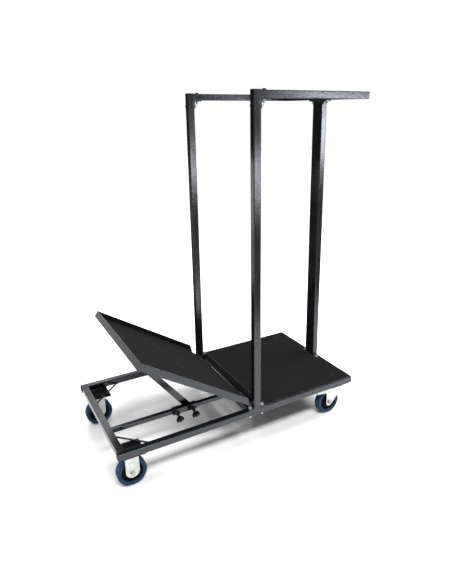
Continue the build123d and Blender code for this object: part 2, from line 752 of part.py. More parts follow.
def caster_plate(x, y):
    """Top plate of a caster, drilled for its four bolts."""
    plate = Pos(x, y, CASTER_HEIGHT - PLATE_THICKNESS / 2) * Box(PLATE_LENGTH, PLATE_WIDTH, PLATE_THICKNESS)
    for dx in (-1, 1):
        for dy in (-1, 1):
            bolt_x = x + dx * PLATE_BOLT_X / 2
            bolt_y = y + dy * PLATE_BOLT_Y / 2
            plate -= bolt_hole_z(bolt_x, bolt_y, plate_bottom, CASTER_HEIGHT)
    return plate


def fork_legs(outline, y, axle_x):
    """Two fork legs of one outline, one on each side of the wheel, bored for the axle."""
    legs = []
    for side in (-1, 1):
        middle = y + side * (fork_inside + FORK_SHEET) / 2
        leg = extrude(Plane.XZ.offset(-middle) * outline, amount=FORK_SHEET / 2, both=True)
        bore = AXLE_DIAMETER + 2 * BOLT_GAP
        legs.append(leg - rod_y(bore, middle - FORK_SHEET / 2, middle + FORK_SHEET / 2, axle_x, axle_z))
    return legs


def fixed_fork(across):
    """Fixed caster fork of even width with round feet, pressed in one piece with its plate."""
    x = -caster_x
    y = across * caster_y
    half = FIXED_FORK_WIDTH / 2
    foot_z = axle_z + FIXED_FORK_RISE
    middle_z = (plate_bottom + foot_z) / 2
    outline = Pos(x, middle_z) * Rectangle(FIXED_FORK_WIDTH, plate_bottom - foot_z)
    outline += Pos(x, foot_z) * Circle(half)
    near, far = fork_legs(outline, y, x)
    return caster_plate(x, y) + near + far


def swivel_plates():
    """Top plates of the swivel casters, with the bearing race below."""
    plates = []
    for across in (-1, 1):
        y = across * caster_y
        plate = caster_plate(caster_x, y) + rod_z(RACE_DIAMETER, race_bottom, plate_bottom, caster_x, y)
        plates.append(plate - rod_z(KING_PIN_DIAMETER, race_bottom, CASTER_HEIGHT, caster_x, y))
    return plates


def king_pins():
    """Riveted pins that hold the swivel forks under their plates."""
    pins = []
    head_top = crown_bottom - FACE_GAP
    for across in (-1, 1):
        y = across * caster_y
        shank = rod_z(KING_PIN_DIAMETER, head_top, CASTER_HEIGHT, caster_x, y)
        pins.append(shank + rod_z(KING_HEAD_DIAMETER, head_top - KING_HEAD_HEIGHT, head_top, caster_x, y))
    return pins


def swivel_fork(across):
    """Swivel caster fork that trails towards the tray end, with a guard over the tyre."""
    x = caster_x
    y = across * caster_y
    axle_x = x - SWIVEL_TRAIL
    back = x - SWIVEL_FORK_BACK
    front = x + SWIVEL_FORK_FRONT
    guard_end = back - GUARD_LENGTH
    top = Line((back, crown_top), (front, crown_top))
    tip = CenterArc((axle_x, axle_z), SWIVEL_FORK_TIP / 2, 0, 360)
    outline = make_hull(ShapeList([*top.edges(), *tip.edges()]))
    guard = Polyline(
        (back + FORK_SHEET, crown_top),
        (guard_end, crown_top),
        (guard_end, crown_top - GUARD_TIP),
        (back + FORK_SHEET, crown_top - GUARD_ROOT),
        close=True,
    )
    near, far = fork_legs(outline + make_face(guard), y, axle_x)
    low = (guard_end, y - fork_outside / 2, crown_bottom)
    high = (front, y + fork_outside / 2, crown_top)
    fork = box_between(low, high) + near + far + rod_z(RACE_DIAMETER, crown_top, fork_head_top, x, y)
    return fork - rod_z(KING_PIN_DIAMETER + 2 * PIN_GAP, crown_bottom, fork_head_top, x, y)


def wheel_place(along, across):
    """Centre of one wheel."""
    trail = SWIVEL_TRAIL if along > 0 else 0.0
    return Pos(along * caster_x - trail, across * caster_y, axle_z)


def tyre(along, across):
    """Solid tyre with rounded shoulders."""
    inner = RIM_DIAMETER / 2
    outer = WHEEL_DIAMETER / 2
    section = Pos((inner + outer) / 2, 0) * Rectangle(outer - inner, TYRE_WIDTH)
    shoulders = section.vertices().group_by(Axis.X)[-1]
    ring = revolve(fillet(shoulders, TYRE_SHOULDER), Axis.Y)
    return wheel_place(along, across) * ring


def rim(along, across):
    """Wheel centre: hub, web and the ring inside the tyre."""
    reach = RIM_DIAMETER / 2
    ring = rod_y(RIM_DIAMETER, -RIM_WIDTH / 2, RIM_WIDTH / 2)
    ring -= rod_y(2 * (reach - RIM_WALL), -RIM_WIDTH / 2, RIM_WIDTH / 2)
    web = rod_y(2 * reach - RIM_WALL, -WEB_THICKNESS / 2, WEB_THICKNESS / 2)
    hub = rod_y(HUB_DIAMETER, -HUB_WIDTH / 2, HUB_WIDTH / 2)
    bore = rod_y(SLEEVE_DIAMETER + 2 * PIN_GAP, -HUB_WIDTH / 2, HUB_WIDTH / 2)
    return wheel_place(along, across) * (ring + web + hub - bore)


def axle_set(along, across):
    """Axle bolt, its nut on the near side, and the sleeve between the fork legs."""
    place = wheel_place(along, across)
    seat = fork_outside / 2
    shank = fork_outside + AXLE_NUT_HEIGHT
    bolt = hex_bolt(AXLE_DIAMETER, AXLE_HEAD, AXLE_HEAD_HEIGHT, shank)
    nut = Pos(0, 0, -fork_outside) * hex_nut(AXLE_DIAMETER, AXLE_HEAD, AXLE_NUT_HEIGHT)
    sleeve = rod_y(SLEEVE_DIAMETER, -fork_inside / 2, fork_inside / 2)
    sleeve -= rod_y(AXLE_DIAMETER, -fork_inside / 2, fork_inside / 2)
    turned = place * Pos(0, seat, 0) * Rot(-90, 0, 0)
    return [turned * bolt, turned * nut, place * sleeve]


def caster_bolts():
    """Bolts that hold the caster plates to the pads from below."""
    bolt = Rot(180, 0, 0) * hex_bolt(BOLT_DIAMETER, BOLT_HEAD, BOLT_HEAD_HEIGHT, PLATE_BOLT_LENGTH)
    bolts = []
    for along, across in corners():
        for x, y in caster_bolt_places(along, across):
            bolts.append(Pos(x, y, plate_bottom) * bolt)
    return bolts


def assembly():
    """Every piece of the dolly by its node name."""
    left_knob, right_knob = knob_places()
    pieces = {
        "side_rail_near": side_rail(-1),
        "side_rail_far": side_rail(1),
        "tray_end_beam": cross_beam(-end_x),
        "deck_end_beam": deck_end_beam(),
        "hinge_beam": cross_beam(HINGE_BEAM_X),
        "deck_beam": cross_beam(DECK_BEAM_X),
        "deck_bearer": deck_bearer(),
        "slider_rail": slider_rail(),
        "corner_stays": corner_stays(),
        "caster_pads": caster_pads(),
        "tube_end_caps": tube_end_caps(),
        "deck_board": deck_board(),
        "deck_screws": deck_screws(),
        "post_near": side_post(-1),
        "post_far": side_post(1),
        "post_end": end_post(),
        "side_post_feet": side_post_feet(),
        "end_post_plates": end_post_plates(),
        "top_bar_near": side_bar(-1),
        "top_bar_far": side_bar(1),
        "top_bar_end": end_bar(),
        "corner_brackets": corner_brackets(),
        "frame_bolts": frame_bolts(),
        "frame_nuts": frame_nuts(),
        "tray_end_lip": tray_end_lip(),
        "tray_lip_near": tray_side_lip(-1),
        "tray_lip_far": tray_side_lip(1),
        "tray_cross_bars": tray_cross_bars(),
        "tray_board": tray_board(),
        "hinge_frame_leaves": hinge_frame_leaves(),
        "hinge_tray_leaves": hinge_tray_leaves(),
        "hinge_pins": hinge_pins(),
        "strut_lug": strut_lug(),
        "lug_pin": lug_pin(),
        "strut": strut(),
        "slider_sleeve": slider_sleeve(),
        "slider_pin": slider_pin(),
        "knob_bosses": knob_bosses(),
        "knob_head_left": knob_head(left_knob),
        "knob_head_right": knob_head(right_knob),
        "knob_stud_left": knob_stud(left_knob),
        "knob_stud_right": knob_stud(right_knob),
        "fixed_fork_near": fixed_fork(-1),
        "fixed_fork_far": fixed_fork(1),
        "swivel_plates": swivel_plates(),
        "king_pins": king_pins(),
        "swivel_fork_near": swivel_fork(-1),
        "swivel_fork_far": swivel_fork(1),
        "fixed_axles": axle_set(-1, -1) + axle_set(-1, 1),
        "swivel_axle_near": axle_set(1, -1),
        "swivel_axle_far": axle_set(1, 1),
        "caster_bolts": caster_bolts(),
    }
    wheel_names = {(-1, -1): "fixed_near", (-1, 1): "fixed_far", (1, -1): "swivel_near", (1, 1): "swivel_far"}
    for (along, across), name in wheel_names.items():
        pieces["tyre_" + name] = tyre(along, across)
        pieces["rim_" + name] = rim(along, across)
    return pieces


def main():
    """Write one STEP file for each node."""
    os.makedirs("parts", exist_ok=True)
    for name, piece in assembly().items():
        group = piece if isinstance(piece, list) else [piece]
        solids = [solid for item in group for solid in item.solids()]
        shape = solids[0] if len(solids) == 1 else Compound(solids)
        export_step(shape, os.path.join("parts", name + ".step"))


main()
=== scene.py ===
"""Looks of a chair dolly: finishes on the CAD nodes, added details, studio and camera.

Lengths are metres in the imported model's frame: X runs along the side rails with the tray end at -X,
Y runs across with the clamping knobs on the -Y half, and Z is up from the floor.
"""

from __future__ import annotations

import logging
import math
from collections.abc import Callable, Iterable, Sequence
from dataclasses import dataclass, field
from enum import Enum
from functools import partial

import bmesh
import bpy
from mathutils import Matrix, Vector

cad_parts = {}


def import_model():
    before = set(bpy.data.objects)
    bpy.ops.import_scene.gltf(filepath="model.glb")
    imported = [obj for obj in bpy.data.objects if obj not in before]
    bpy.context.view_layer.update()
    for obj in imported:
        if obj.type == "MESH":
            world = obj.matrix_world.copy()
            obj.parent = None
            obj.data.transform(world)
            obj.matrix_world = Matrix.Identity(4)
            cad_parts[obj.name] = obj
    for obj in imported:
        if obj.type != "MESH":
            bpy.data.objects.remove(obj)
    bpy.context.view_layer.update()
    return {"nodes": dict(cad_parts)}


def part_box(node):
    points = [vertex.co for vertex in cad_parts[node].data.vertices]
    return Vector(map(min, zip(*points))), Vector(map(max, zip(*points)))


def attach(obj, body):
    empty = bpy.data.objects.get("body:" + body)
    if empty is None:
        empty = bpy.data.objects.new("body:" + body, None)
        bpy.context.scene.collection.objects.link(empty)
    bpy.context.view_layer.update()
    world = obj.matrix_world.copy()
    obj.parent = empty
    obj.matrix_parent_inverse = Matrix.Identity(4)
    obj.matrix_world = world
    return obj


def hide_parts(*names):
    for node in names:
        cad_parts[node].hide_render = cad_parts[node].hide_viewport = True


LOG = logging.getLogger("chair_dolly")
MM = 0.001
SMOOTH_ANGLE = math.radians(38)
MERGE_DISTANCE = 0.001 * MM
PLACE_DIGITS = 5
EDGE_SAMPLES = 4
DROP_SEGMENTS = 8
DROP_RINGS = 5
HELIX_STEPS = 16
RIDGE_SIDES = 4
FLOOR_FLAG_LIFT = 0.01
RGBA = {"data_type": "RGBA"}
WHITE = (1.0, 1.0, 1.0, 1.0)
DOWN = Vector((0.0, 0.0, -1.0))

Box = tuple[Vector, Vector]
Seat = tuple[Vector, Vector]
Path3 = list[Vector]
Profile = list[tuple[float, float]]
Place = tuple[float, float, float]
# Size in millimetres and detail
Noise = tuple[float, float]
# Two levels of a pattern, and what they become
Ramp = tuple[float, float, float, float]
# Strength, and depth in millimetres
Relief = tuple[float, float]


class Slot(Enum):
    """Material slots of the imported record."""

    PAINTED_STEEL = "painted_steel"
    ZINC = "zinc_plated_steel"
    BLACK_OXIDE = "blackened_steel"
    BOARD = "coated_board"
    PLASTIC = "black_plastic"
    RUBBER = "blue_rubber"


class Corner(Enum):
    """The four casters, by the ending of their node names."""

    FIXED_NEAR = "fixed_near"
    FIXED_FAR = "fixed_far"
    SWIVEL_NEAR = "swivel_near"
    SWIVEL_FAR = "swivel_far"


def linear(colour: str) -> tuple[float, float, float, float]:
    """Turn an sRGB hex value into linear RGBA.

    Args:
        colour: Six hex digits after a hash.

    Returns:
        Linear red, green and blue, and an alpha of 1.
    """
    levels = [int(colour[place : place + 2], 16) / 255 for place in (1, 3, 5)]
    red, green, blue = (v / 12.92 if v <= 0.04045 else ((v + 0.055) / 1.055) ** 2.4 for v in levels)
    return red, green, blue, 1.0


def per_mm(size: float) -> float:
    """Turn a pattern's real size in millimetres into a texture scale per metre."""
    return 1.0 / (size * MM)


def add_node(
    tree: bpy.types.NodeTree, name: str, kind: str, inputs: dict | Sequence = (), **settings: object
) -> None:
    """Add a named node with its settings and links.

    Args:
        tree: The tree that the node goes into.
        name: The node's own name.
        kind: Blender's name for the kind of node, with or without ShaderNode in front.
        inputs: Values in order or by name. One such as "cloud.Fac" links a made node's output.
        **settings: The node's own properties.
    """
    node = tree.nodes.new(kind if "Node" in kind else "ShaderNode" + kind)
    node.name = name
    for key, value in settings.items():
        setattr(node, key, value)
    for key, value in inputs.items() if isinstance(inputs, dict) else enumerate(inputs):
        if isinstance(value, str) and "." in value:
            source, output = value.split(".")
            tree.links.new(tree.nodes[source].outputs[output], node.inputs[key])
        else:
            node.inputs[key].default_value = value


def bare_tree(owner: bpy.types.Material | bpy.types.World) -> bpy.types.NodeTree:
    """Turn on the nodes of a material or world and clear them.

    Args:
        owner: The material or world.

    Returns:
        Its empty tree.
    """
    owner.use_nodes = True
    owner.node_tree.nodes.clear()
    return owner.node_tree


@dataclass(frozen=True)
class Finish:
    """A surface finish whose material is made once, at its first use."""

    name: str
    slot: Slot

    def material(self) -> bpy.types.Material:
        """Give the finish's material.

        Returns:
            The material, new or found by its name.
        """
        found = bpy.data.materials.get(self.name)
        if found is None:
            found = bpy.data.materials.new(self.name)
            tree = bare_tree(found)
            self.shade(tree)
            add_node(tree, "output", "OutputMaterial", {"Surface": "skin.BSDF"})
        return found

    def shade(self, tree: bpy.types.NodeTree) -> None:
        """Build the finish's nodes, of which the last is the shader, named skin.

        Args:
            tree: The material's empty tree.
        """
        raise NotImplementedError

    def cloud(self, tree: bpy.types.NodeTree, noise: Noise, deep: str, pale: str) -> None:
        """Add the piece's own coordinates, clouds on them and the tone that the clouds give.

        Args:
            tree: The material's tree.
            noise: The clouds.
            deep: Colour between the clouds.
            pale: Colour of the clouds.
        """
        size, detail = noise
        add = partial(add_node, tree)
        add("place", "TexCoord")
        add("cloud", "TexNoise", {"Vector": "place.Object", "Scale": per_mm(size), "Detail": detail})
        add("tone", "Mix", {"Factor": "cloud.Fac", "A": linear(deep), "B": linear(pale)}, **RGBA)

    def edges(self, tree: bpy.types.NodeTree, reach: float, worn: Ramp) -> None:
        """Add rounded normals and the share of the edge colour along sharp edges.

        Args:
            tree: The material's tree.
            reach: Reach of the rounding in millimetres.
            worn: Share of the edge colour by how far the rounded normal still agrees with the face; that
                colour is wear on some finishes and a painted highlight on others.
        """
        add_node(tree, "folded", "Bevel", {"Radius": reach * MM}, samples=EDGE_SAMPLES)
        add_node(tree, "shape", "NewGeometry")
        add_node(tree, "turn", "VectorMath", ("folded.Normal", "shape.Normal"), operation="DOT_PRODUCT")
        add_node(tree, "edge", "MapRange", ("turn.Value", *worn))

    def skin(self, tree: bpy.types.NodeTree, relief: Relief, height: str, shader: dict) -> None:
        """Add the bump, over rounded normals where there are any, and the shader.

        Args:
            tree: The material's tree, with its colour and gloss.
            relief: The bump's strength and depth.
            height: The output that gives the bump's height.
            shader: The shader's other inputs.
        """
        strength, depth = relief
        bump = {"Strength": strength, "Distance": depth * MM, "Height": height}
        if "folded" in tree.nodes:
            bump["Normal"] = "folded.Normal"
        add_node(tree, "bump", "Bump", bump)
        shown = {"Base Color": "colour.Result", "Roughness": "gloss.Result", "Normal": "bump.Normal"}
        add_node(tree, "skin", "BsdfPrincipled", {**shown, **shader})


@dataclass(frozen=True)
class PowderCoat(Finish):
    """Polyester powder coat, sprayed and baked on mild steel.

    It gives the eye a black satin skin with an orange peel that breaks reflections into small
    sparks, a soft highlight along every folded edge, and paler edge patches: worn paint where edges
    are handled, and on the flat bars' coat a painted highlight.
    """

    deep: str = "#08090b"
    pale: str = "#0f1013"
    # Edge colour: worn paint on the plain coat. The flat bars' coat sets it paler as a painted highlight.
    edge_tone: str = "#4c4f54"
    dusty: str = "#1e2024"
    tint: str = "#f1f6ff"
    clouds: Noise = (160.0, 4.0)
    # Real orange peel is 1 to 2 mm. It is drawn at 6 mm so that it shows at the photograph's size.
    peel: Noise = (6.0, 1.0)
    speck: Noise = (1.6, 2.0)
    mottle: Noise = (6.0, 2.0)
    speck_share: float = 0.35
    relief: Relief = (0.42, 0.5)
    edge_mm: float = 1.6
    worn: Ramp = (0.985, 0.80, 0.0, 1.0)
    patches: Ramp = (0.42, 0.68, 0.15, 0.75)
    settling: Ramp = (0.6, 1.0, 0.0, 0.35)
    gloss: Ramp = (0.3, 0.7, 0.14, 0.22)
    sheen: Ramp = (0.35, 0.65, 0.46, 0.64)
    ior: float = 1.6

    def shade(self, tree: bpy.types.NodeTree) -> None:
        """Build the coat's nodes.

        Args:
            tree: The material's empty tree.
        """
        add = partial(add_node, tree)
        self.cloud(tree, self.clouds, self.deep, self.pale)
        self.edges(tree, self.edge_mm, self.worn)
        for name, (size, detail) in {"peel": self.peel, "speck": self.speck, "mottle": self.mottle}.items():
            add(name, "TexNoise", {"Vector": "place.Object", "Scale": per_mm(size), "Detail": detail})
        add("patch", "MapRange", ("cloud.Fac", *self.patches))
        add("rub", "Math", ("edge.Result", "patch.Result"), operation="MULTIPLY")
        add("upward", "SeparateXYZ", ("shape.Normal",))
        add("settled", "MapRange", ("upward.Z", *self.settling))
        add("dust", "Math", ("settled.Result", "cloud.Fac"), operation="MULTIPLY")
        add("dulled", "Mix", {"Factor": "dust.Value", "A": "tone.Result", "B": linear(self.dusty)}, **RGBA)
        # Edge patches take the edge colour. This is wear on the plain coat and a painted highlight on the
        # flat bars' coat.
        add("colour", "Mix", {"Factor": "rub.Value", "A": "dulled.Result", "B": linear(self.edge_tone)}, **RGBA)
        add("gloss", "MapRange", ("cloud.Fac", *self.gloss))
        add("sheen", "MapRange", ("mottle.Fac", *self.sheen))
        add("height", "Math", ("speck.Fac", self.speck_share, "peel.Fac"), operation="MULTIPLY_ADD")
        shader = {"IOR": self.ior, "Specular IOR Level": "sheen.Result", "Specular Tint": linear(self.tint)}
        self.skin(tree, self.relief, "height.Value", shader)


@dataclass(frozen=True)
class ZincPlate(Finish):
    """Pressed steel, electroplated with zinc and clear passivated.

    It gives the eye a bright, slightly blue metal with a faint cloudy spangle and duller patches.
    """

    bright: str = "#d5d8d4"
    dull: str = "#b4bab7"
    clouds: Noise = (30.0, 5.0)
    spangle_mm: float = 5.0
    spangle_share: float = 0.5
    relief: Relief = (0.12, 0.2)
    edge_mm: float = 0.6
    duller: Ramp = (0.45, 0.95, 0.0, 1.0)
    gloss: Ramp = (0.0, 1.0, 0.28, 0.46)

    def shade(self, tree: bpy.types.NodeTree) -> None:
        """Build the plating's nodes.

        Args:
            tree: The material's empty tree.
        """
        add = partial(add_node, tree)
        size, detail = self.clouds
        add("place", "TexCoord")
        add("cloud", "TexNoise", {"Vector": "place.Object", "Scale": per_mm(size), "Detail": detail})
        add("spangle", "TexVoronoi", {"Vector": "place.Object", "Scale": per_mm(self.spangle_mm)})
        add("blend", "Math", ("spangle.Distance", self.spangle_share, "cloud.Fac"), operation="MULTIPLY_ADD")
        add("share", "MapRange", ("blend.Value", *self.duller))
        metals = {"A": linear(self.bright), "B": linear(self.dull)}
        add("colour", "Mix", {"Factor": "share.Result", **metals}, **RGBA)
        add("gloss", "MapRange", ("share.Result", *self.gloss))
        add("folded", "Bevel", {"Radius": self.edge_mm * MM}, samples=EDGE_SAMPLES)
        self.skin(tree, self.relief, "blend.Value", {"Metallic": 1.0})


@dataclass(frozen=True)
class FilmFacedBoard(Finish):
    """Plywood faced with a black phenolic film, pressed with a fine anti-slip grain.

    It gives the eye a flat, dry black with a pebbled grain, faint drag marks and dust, and a paler
    line at the cut edges, partly the lighter plywood and partly a painted highlight where they catch light.
    """

    deep: str = "#0b0b0c"
    pale: str = "#151516"
    dusty: str = "#2a2a2b"
    # Pale edge colour: partly the lighter plywood at the cut edges, partly a painted highlight where the
    # edges catch light.
    edge_tone: str = "#8f8b85"
    clouds: Noise = (90.0, 6.0)
    # The pressed grain is about 1 mm. It is drawn at 3 mm so that it shows at the photograph's size.
    grain_mm: float = 3.0
    relief: Relief = (0.45, 0.5)
    drag_mm: tuple[float, float] = (240.0, 6.0)
    drag_detail: float = 3.0
    drag_roughness: float = 0.6
    scuffs: Ramp = (0.58, 0.80, 0.0, 0.5)
    edge_mm: float = 2.4
    worn: Ramp = (0.98, 0.80, 0.0, 0.8)
    gloss: Ramp = (0.3, 0.7, 0.80, 0.92)
    ior: float = 1.48
    gleam: float = 0.1

    def shade(self, tree: bpy.types.NodeTree) -> None:
        """Build the board's nodes.

        Args:
            tree: The material's empty tree.
        """
        add = partial(add_node, tree)
        self.cloud(tree, self.clouds, self.deep, self.pale)
        self.edges(tree, self.edge_mm, self.worn)
        along, across = (per_mm(size) for size in self.drag_mm)
        drag = {"Scale": 1.0, "Detail": self.drag_detail, "Roughness": self.drag_roughness}
        grain = {"Vector": "place.Object", "Scale": per_mm(self.grain_mm)}
        add("grain", "TexVoronoi", grain, feature="SMOOTH_F1")
        add("stretch", "Mapping", {"Vector": "place.Object", "Scale": (along, across, across)})
        add("drag", "TexNoise", {"Vector": "stretch.Vector", **drag})
        add("scuff", "MapRange", ("drag.Fac", *self.scuffs))
        dusty, edge_tone = linear(self.dusty), linear(self.edge_tone)
        add("dulled", "Mix", {"Factor": "scuff.Result", "A": "tone.Result", "B": dusty}, **RGBA)
        # The pale edge colour is part plywood, part painted highlight.
        add("colour", "Mix", {"Factor": "edge.Result", "A": "dulled.Result", "B": edge_tone}, **RGBA)
        add("gloss", "MapRange", ("cloud.Fac", *self.gloss))
        self.skin(tree, self.relief, "grain.Distance", {"IOR": self.ior, "Specular IOR Level": self.gleam})


@dataclass(frozen=True)
class MouldedPlastic(Finish):
    """Polyamide with glass fibre, injection moulded with a spark-eroded texture.

    It gives the eye a satin black with a very fine even grain and greyer worn edges.
    """

    deep: str = "#060607"
    pale: str = "#0d0d0e"
    edge_tone: str = "#1c1d20"
    clouds: Noise = (25.0, 4.0)
    grain: Noise = (0.8, 2.0)
    relief: Relief = (0.2, 0.15)
    edge_mm: float = 0.8
    worn: Ramp = (0.98, 0.80, 0.0, 0.6)
    gloss: Ramp = (0.3, 0.7, 0.38, 0.52)
    ior: float = 1.53
    gleam: float = 0.10

    def shade(self, tree: bpy.types.NodeTree) -> None:
        """Build the plastic's nodes.

        Args:
            tree: The material's empty tree.
        """
        add = partial(add_node, tree)
        self.cloud(tree, self.clouds, self.deep, self.pale)
        self.edges(tree, self.edge_mm, self.worn)
        size, detail = self.grain
        add("grain", "TexNoise", {"Vector": "place.Object", "Scale": per_mm(size), "Detail": detail})
        add("colour", "Mix", {"Factor": "edge.Result", "A": "tone.Result", "B": linear(self.edge_tone)}, **RGBA)
        add("gloss", "MapRange", ("cloud.Fac", *self.gloss))
        self.skin(tree, self.relief, "grain.Fac", {"IOR": self.ior, "Specular IOR Level": self.gleam})


@dataclass(frozen=True)
class ElasticRubber(Finish):
    """Blue elastic solid rubber, vulcanised in a polished mould.

    It gives the eye a soft satin blue, with a dull, dusty band where the tread rolls.
    """

    deep: str = "#082444"
    pale: str = "#154069"
    dusty: str = "#3c5770"
    clouds: Noise = (22.0, 5.0)
    grain: Noise = (1.2, 2.0)
    relief: Relief = (0.25, 0.2)
    gloss: Ramp = (0.0, 0.5, 0.42, 0.75)
    wear: str = "tread_wear"
    ior: float = 1.52
    gleam: float = 0.25

    def shade(self, tree: bpy.types.NodeTree) -> None:
        """Build the rubber's nodes.

        Args:
            tree: The material's empty tree.
        """
        add = partial(add_node, tree)
        self.cloud(tree, self.clouds, self.deep, self.pale)
        size, detail = self.grain
        add("grain", "TexNoise", {"Vector": "place.Object", "Scale": per_mm(size), "Detail": detail})
        add("worn", "Attribute", attribute_name=self.wear)
        add("dust", "Math", ("worn.Fac", "cloud.Fac"), operation="MULTIPLY")
        add("colour", "Mix", {"Factor": "dust.Value", "A": "tone.Result", "B": linear(self.dusty)}, **RGBA)
        add("gloss", "MapRange", ("dust.Value", *self.gloss))
        self.skin(tree, self.relief, "grain.Fac", {"IOR": self.ior, "Specular IOR Level": self.gleam})


@dataclass(frozen=True)
class BlackOxide(Finish):
    """Turned steel screws, chemically blackened and oiled.

    It gives the eye a near-black metal with a low oily sheen and a brown-grey tinge where it is thin.
    """

    deep: str = "#141415"
    thin: str = "#2a2826"
    clouds: Noise = (8.0, 4.0)
    turning: Noise = (0.9, 1.0)
    relief: Relief = (0.2, 0.1)
    gloss: Ramp = (0.0, 1.0, 0.34, 0.50)

    def shade(self, tree: bpy.types.NodeTree) -> None:
        """Build the blackened steel's nodes.

        Args:
            tree: The material's empty tree.
        """
        add = partial(add_node, tree)
        self.cloud(tree, self.clouds, self.deep, self.thin)
        size, detail = self.turning
        add("turning", "TexNoise", {"Vector": "place.Object", "Scale": per_mm(size), "Detail": detail})
        add("gloss", "MapRange", ("cloud.Fac", *self.gloss))
        self.skin(tree, self.relief, "turning.Fac", {"Base Color": "tone.Result", "Metallic": 1.0})


MATT = {
    "deep": "#040405",
    "pale": "#0a0b0c",
    "dusty": "#121315",
    "gloss": (0.3, 0.7, 0.55, 0.70),
    "sheen": (0.35, 0.65, 0.02, 0.07),
}
POWDER_COAT = PowderCoat("powder_coated_mild_steel", Slot.PAINTED_STEEL)
MATT_COAT = PowderCoat("matt_powder_coated_plate", Slot.PAINTED_STEEL, **MATT)
# The flat bars' coat is matt with a paler, wider edge colour. It is a painted highlight that stands in for
# the light lines along the bars' edges.
EDGE_HIGHLIGHT_COAT = PowderCoat(
    "flat_bar_coat_painted_edge_highlight", Slot.PAINTED_STEEL, edge_tone="#85888d", edge_mm=2.4, **MATT
)
ZINC_PLATE = ZincPlate("zinc_plated_pressed_steel", Slot.ZINC)
# The axles' zinc is painted darker than the forks' plating. It is a painted shade that stands in for the
# shadow around the axle nuts.
PAINTED_SHADE_ZINC = ZincPlate(
    "zinc_plated_axle_painted_darker", Slot.ZINC, bright="#b9bcb9", dull="#8d918f", gloss=(0.0, 1.0, 0.34, 0.52)
)
BLACK_OXIDE = BlackOxide("black_oxide_turned_steel", Slot.BLACK_OXIDE)
BOARD = FilmFacedBoard("film_faced_plywood", Slot.BOARD)
PLASTIC = MouldedPlastic("moulded_polyamide", Slot.PLASTIC)
RUBBER = ElasticRubber("vulcanised_elastic_rubber", Slot.RUBBER)


@dataclass
class GeometryTree:
    """A Geometry Nodes tree with named inputs that is turned into a plain mesh."""

    name: str
    sizes: dict[str, str]
    tree: bpy.types.NodeTree = field(init=False)

    def __post_init__(self) -> None:
        """Start the tree with a geometry, a material and the named inputs of their kinds."""
        self.tree = bpy.data.node_groups.new(self.name, "GeometryNodeTree")
        sockets = self.tree.interface
        sockets.new_socket("Geometry", in_out="OUTPUT", socket_type="NodeSocketGeometry")
        for name, kind in {"Geometry": "Geometry", "Material": "Material", **self.sizes}.items():
            sockets.new_socket(name, in_out="INPUT", socket_type="NodeSocket" + kind)
        self.add("given", "NodeGroupInput")

    def add(self, name: str, kind: str, inputs: dict | Sequence = (), **settings: object) -> None:
        """Add a node to the tree, as add_node does."""
        add_node(self.tree, name, kind, inputs, **settings)

    def close(self, instances: str) -> GeometryTree:
        """End the tree in real faces that carry the material.

        Args:
            instances: The output that holds the instances.

        Returns:
            This tree.
        """
        self.add("real", "GeometryNodeRealizeInstances", (instances,))
        self.add("smooth", "GeometryNodeSetShadeSmooth", ("real.Geometry",))
        dressing = {"Geometry": "smooth.Geometry", "Material": "given.Material"}
        self.add("dressed", "GeometryNodeSetMaterial", dressing)
        self.add("result", "NodeGroupOutput", ("dressed.Geometry",))
        return self

    def bake(
        self, name: str, mesh: bpy.types.Mesh, finish: Finish, values: dict[str, object]
    ) -> bpy.types.Mesh:
        """Run the tree on a mesh and keep the result.

        Args:
            name: The new mesh's name.
            mesh: What the tree starts from.
            finish: The finish of the new faces.
            values: The named inputs.

        Returns:
            A plain mesh.
        """
        holder = bpy.data.objects.new(name + "_holder", mesh)
        bpy.context.scene.collection.objects.link(holder)
        modifier = holder.modifiers.new(self.name, "NODES")
        modifier.node_group = self.tree
        wanted = {"Material": finish.material(), **values}
        for item in self.tree.interface.items_tree:
            if item.in_out == "INPUT" and item.name in wanted:
                modifier[item.identifier] = wanted[item.name]
        graph = bpy.context.evaluated_depsgraph_get()
        result = bpy.data.meshes.new_from_object(holder.evaluated_get(graph), depsgraph=graph)
        result.name = name
        result.set_sharp_from_angle(angle=SMOOTH_ANGLE)
        bpy.data.objects.remove(holder)
        return result


def put_piece(
    name: str, mesh: bpy.types.Mesh, finish: Finish, body: str, stands_for: Sequence[str] = ()
) -> bpy.types.Object:
    """Put a finished mesh on a body.

    Args:
        name: The piece's name.
        mesh: The mesh, in the model's frame.
        finish: The piece's finish.
        body: The body that it rides on.
        stands_for: CAD nodes that it replaces.

    Returns:
        The piece.
    """
    piece = bpy.data.objects.new(name, mesh)
    bpy.context.scene.collection.objects.link(piece)
    if not mesh.materials:
        mesh.materials.append(finish.material())
    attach(piece, body)
    if stands_for:
        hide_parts(*stands_for)
    LOG.info("piece %s on %s: %d faces", name, body, len(mesh.polygons))
    return piece


def dress(nodes: dict[str, bpy.types.Object], names: Iterable[str], finish: Finish) -> None:
    """Give CAD nodes their finish.

    Args:
        nodes: The CAD nodes by name.
        names: The nodes to dress.
        finish: Their finish.
    """
    for name in names:
        for place in nodes[name].material_slots:
            place.material = finish.material()
        LOG.info("node %s dressed in %s", name, finish.name)


def islands(node: bpy.types.Object) -> list[Box]:
    """Find the boxes of a CAD node's separate solids.

    Args:
        node: The CAD node.

    Returns:
        The lowest and highest corner of each solid, sorted by place.
    """
    work = bmesh.new()
    work.from_mesh(node.data)
    bmesh.ops.remove_doubles(work, verts=work.verts, dist=MERGE_DISTANCE)
    unseen = set(work.verts)
    boxes = []
    while unseen:
        waiting = [unseen.pop()]
        places = []
        while waiting:
            vertex = waiting.pop()
            places.append(vertex.co.copy())
            linked = {edge.other_vert(vertex) for edge in vertex.link_edges} & unseen
            unseen -= linked
            waiting.extend(linked)
        low = Vector(min(place[axis] for place in places) for axis in range(3))
        high = Vector(max(place[axis] for place in places) for axis in range(3))
        boxes.append((low, high))
    work.free()
    return sorted(boxes, key=lambda box: tuple(round(value, PLACE_DIGITS) for value in box[0]))


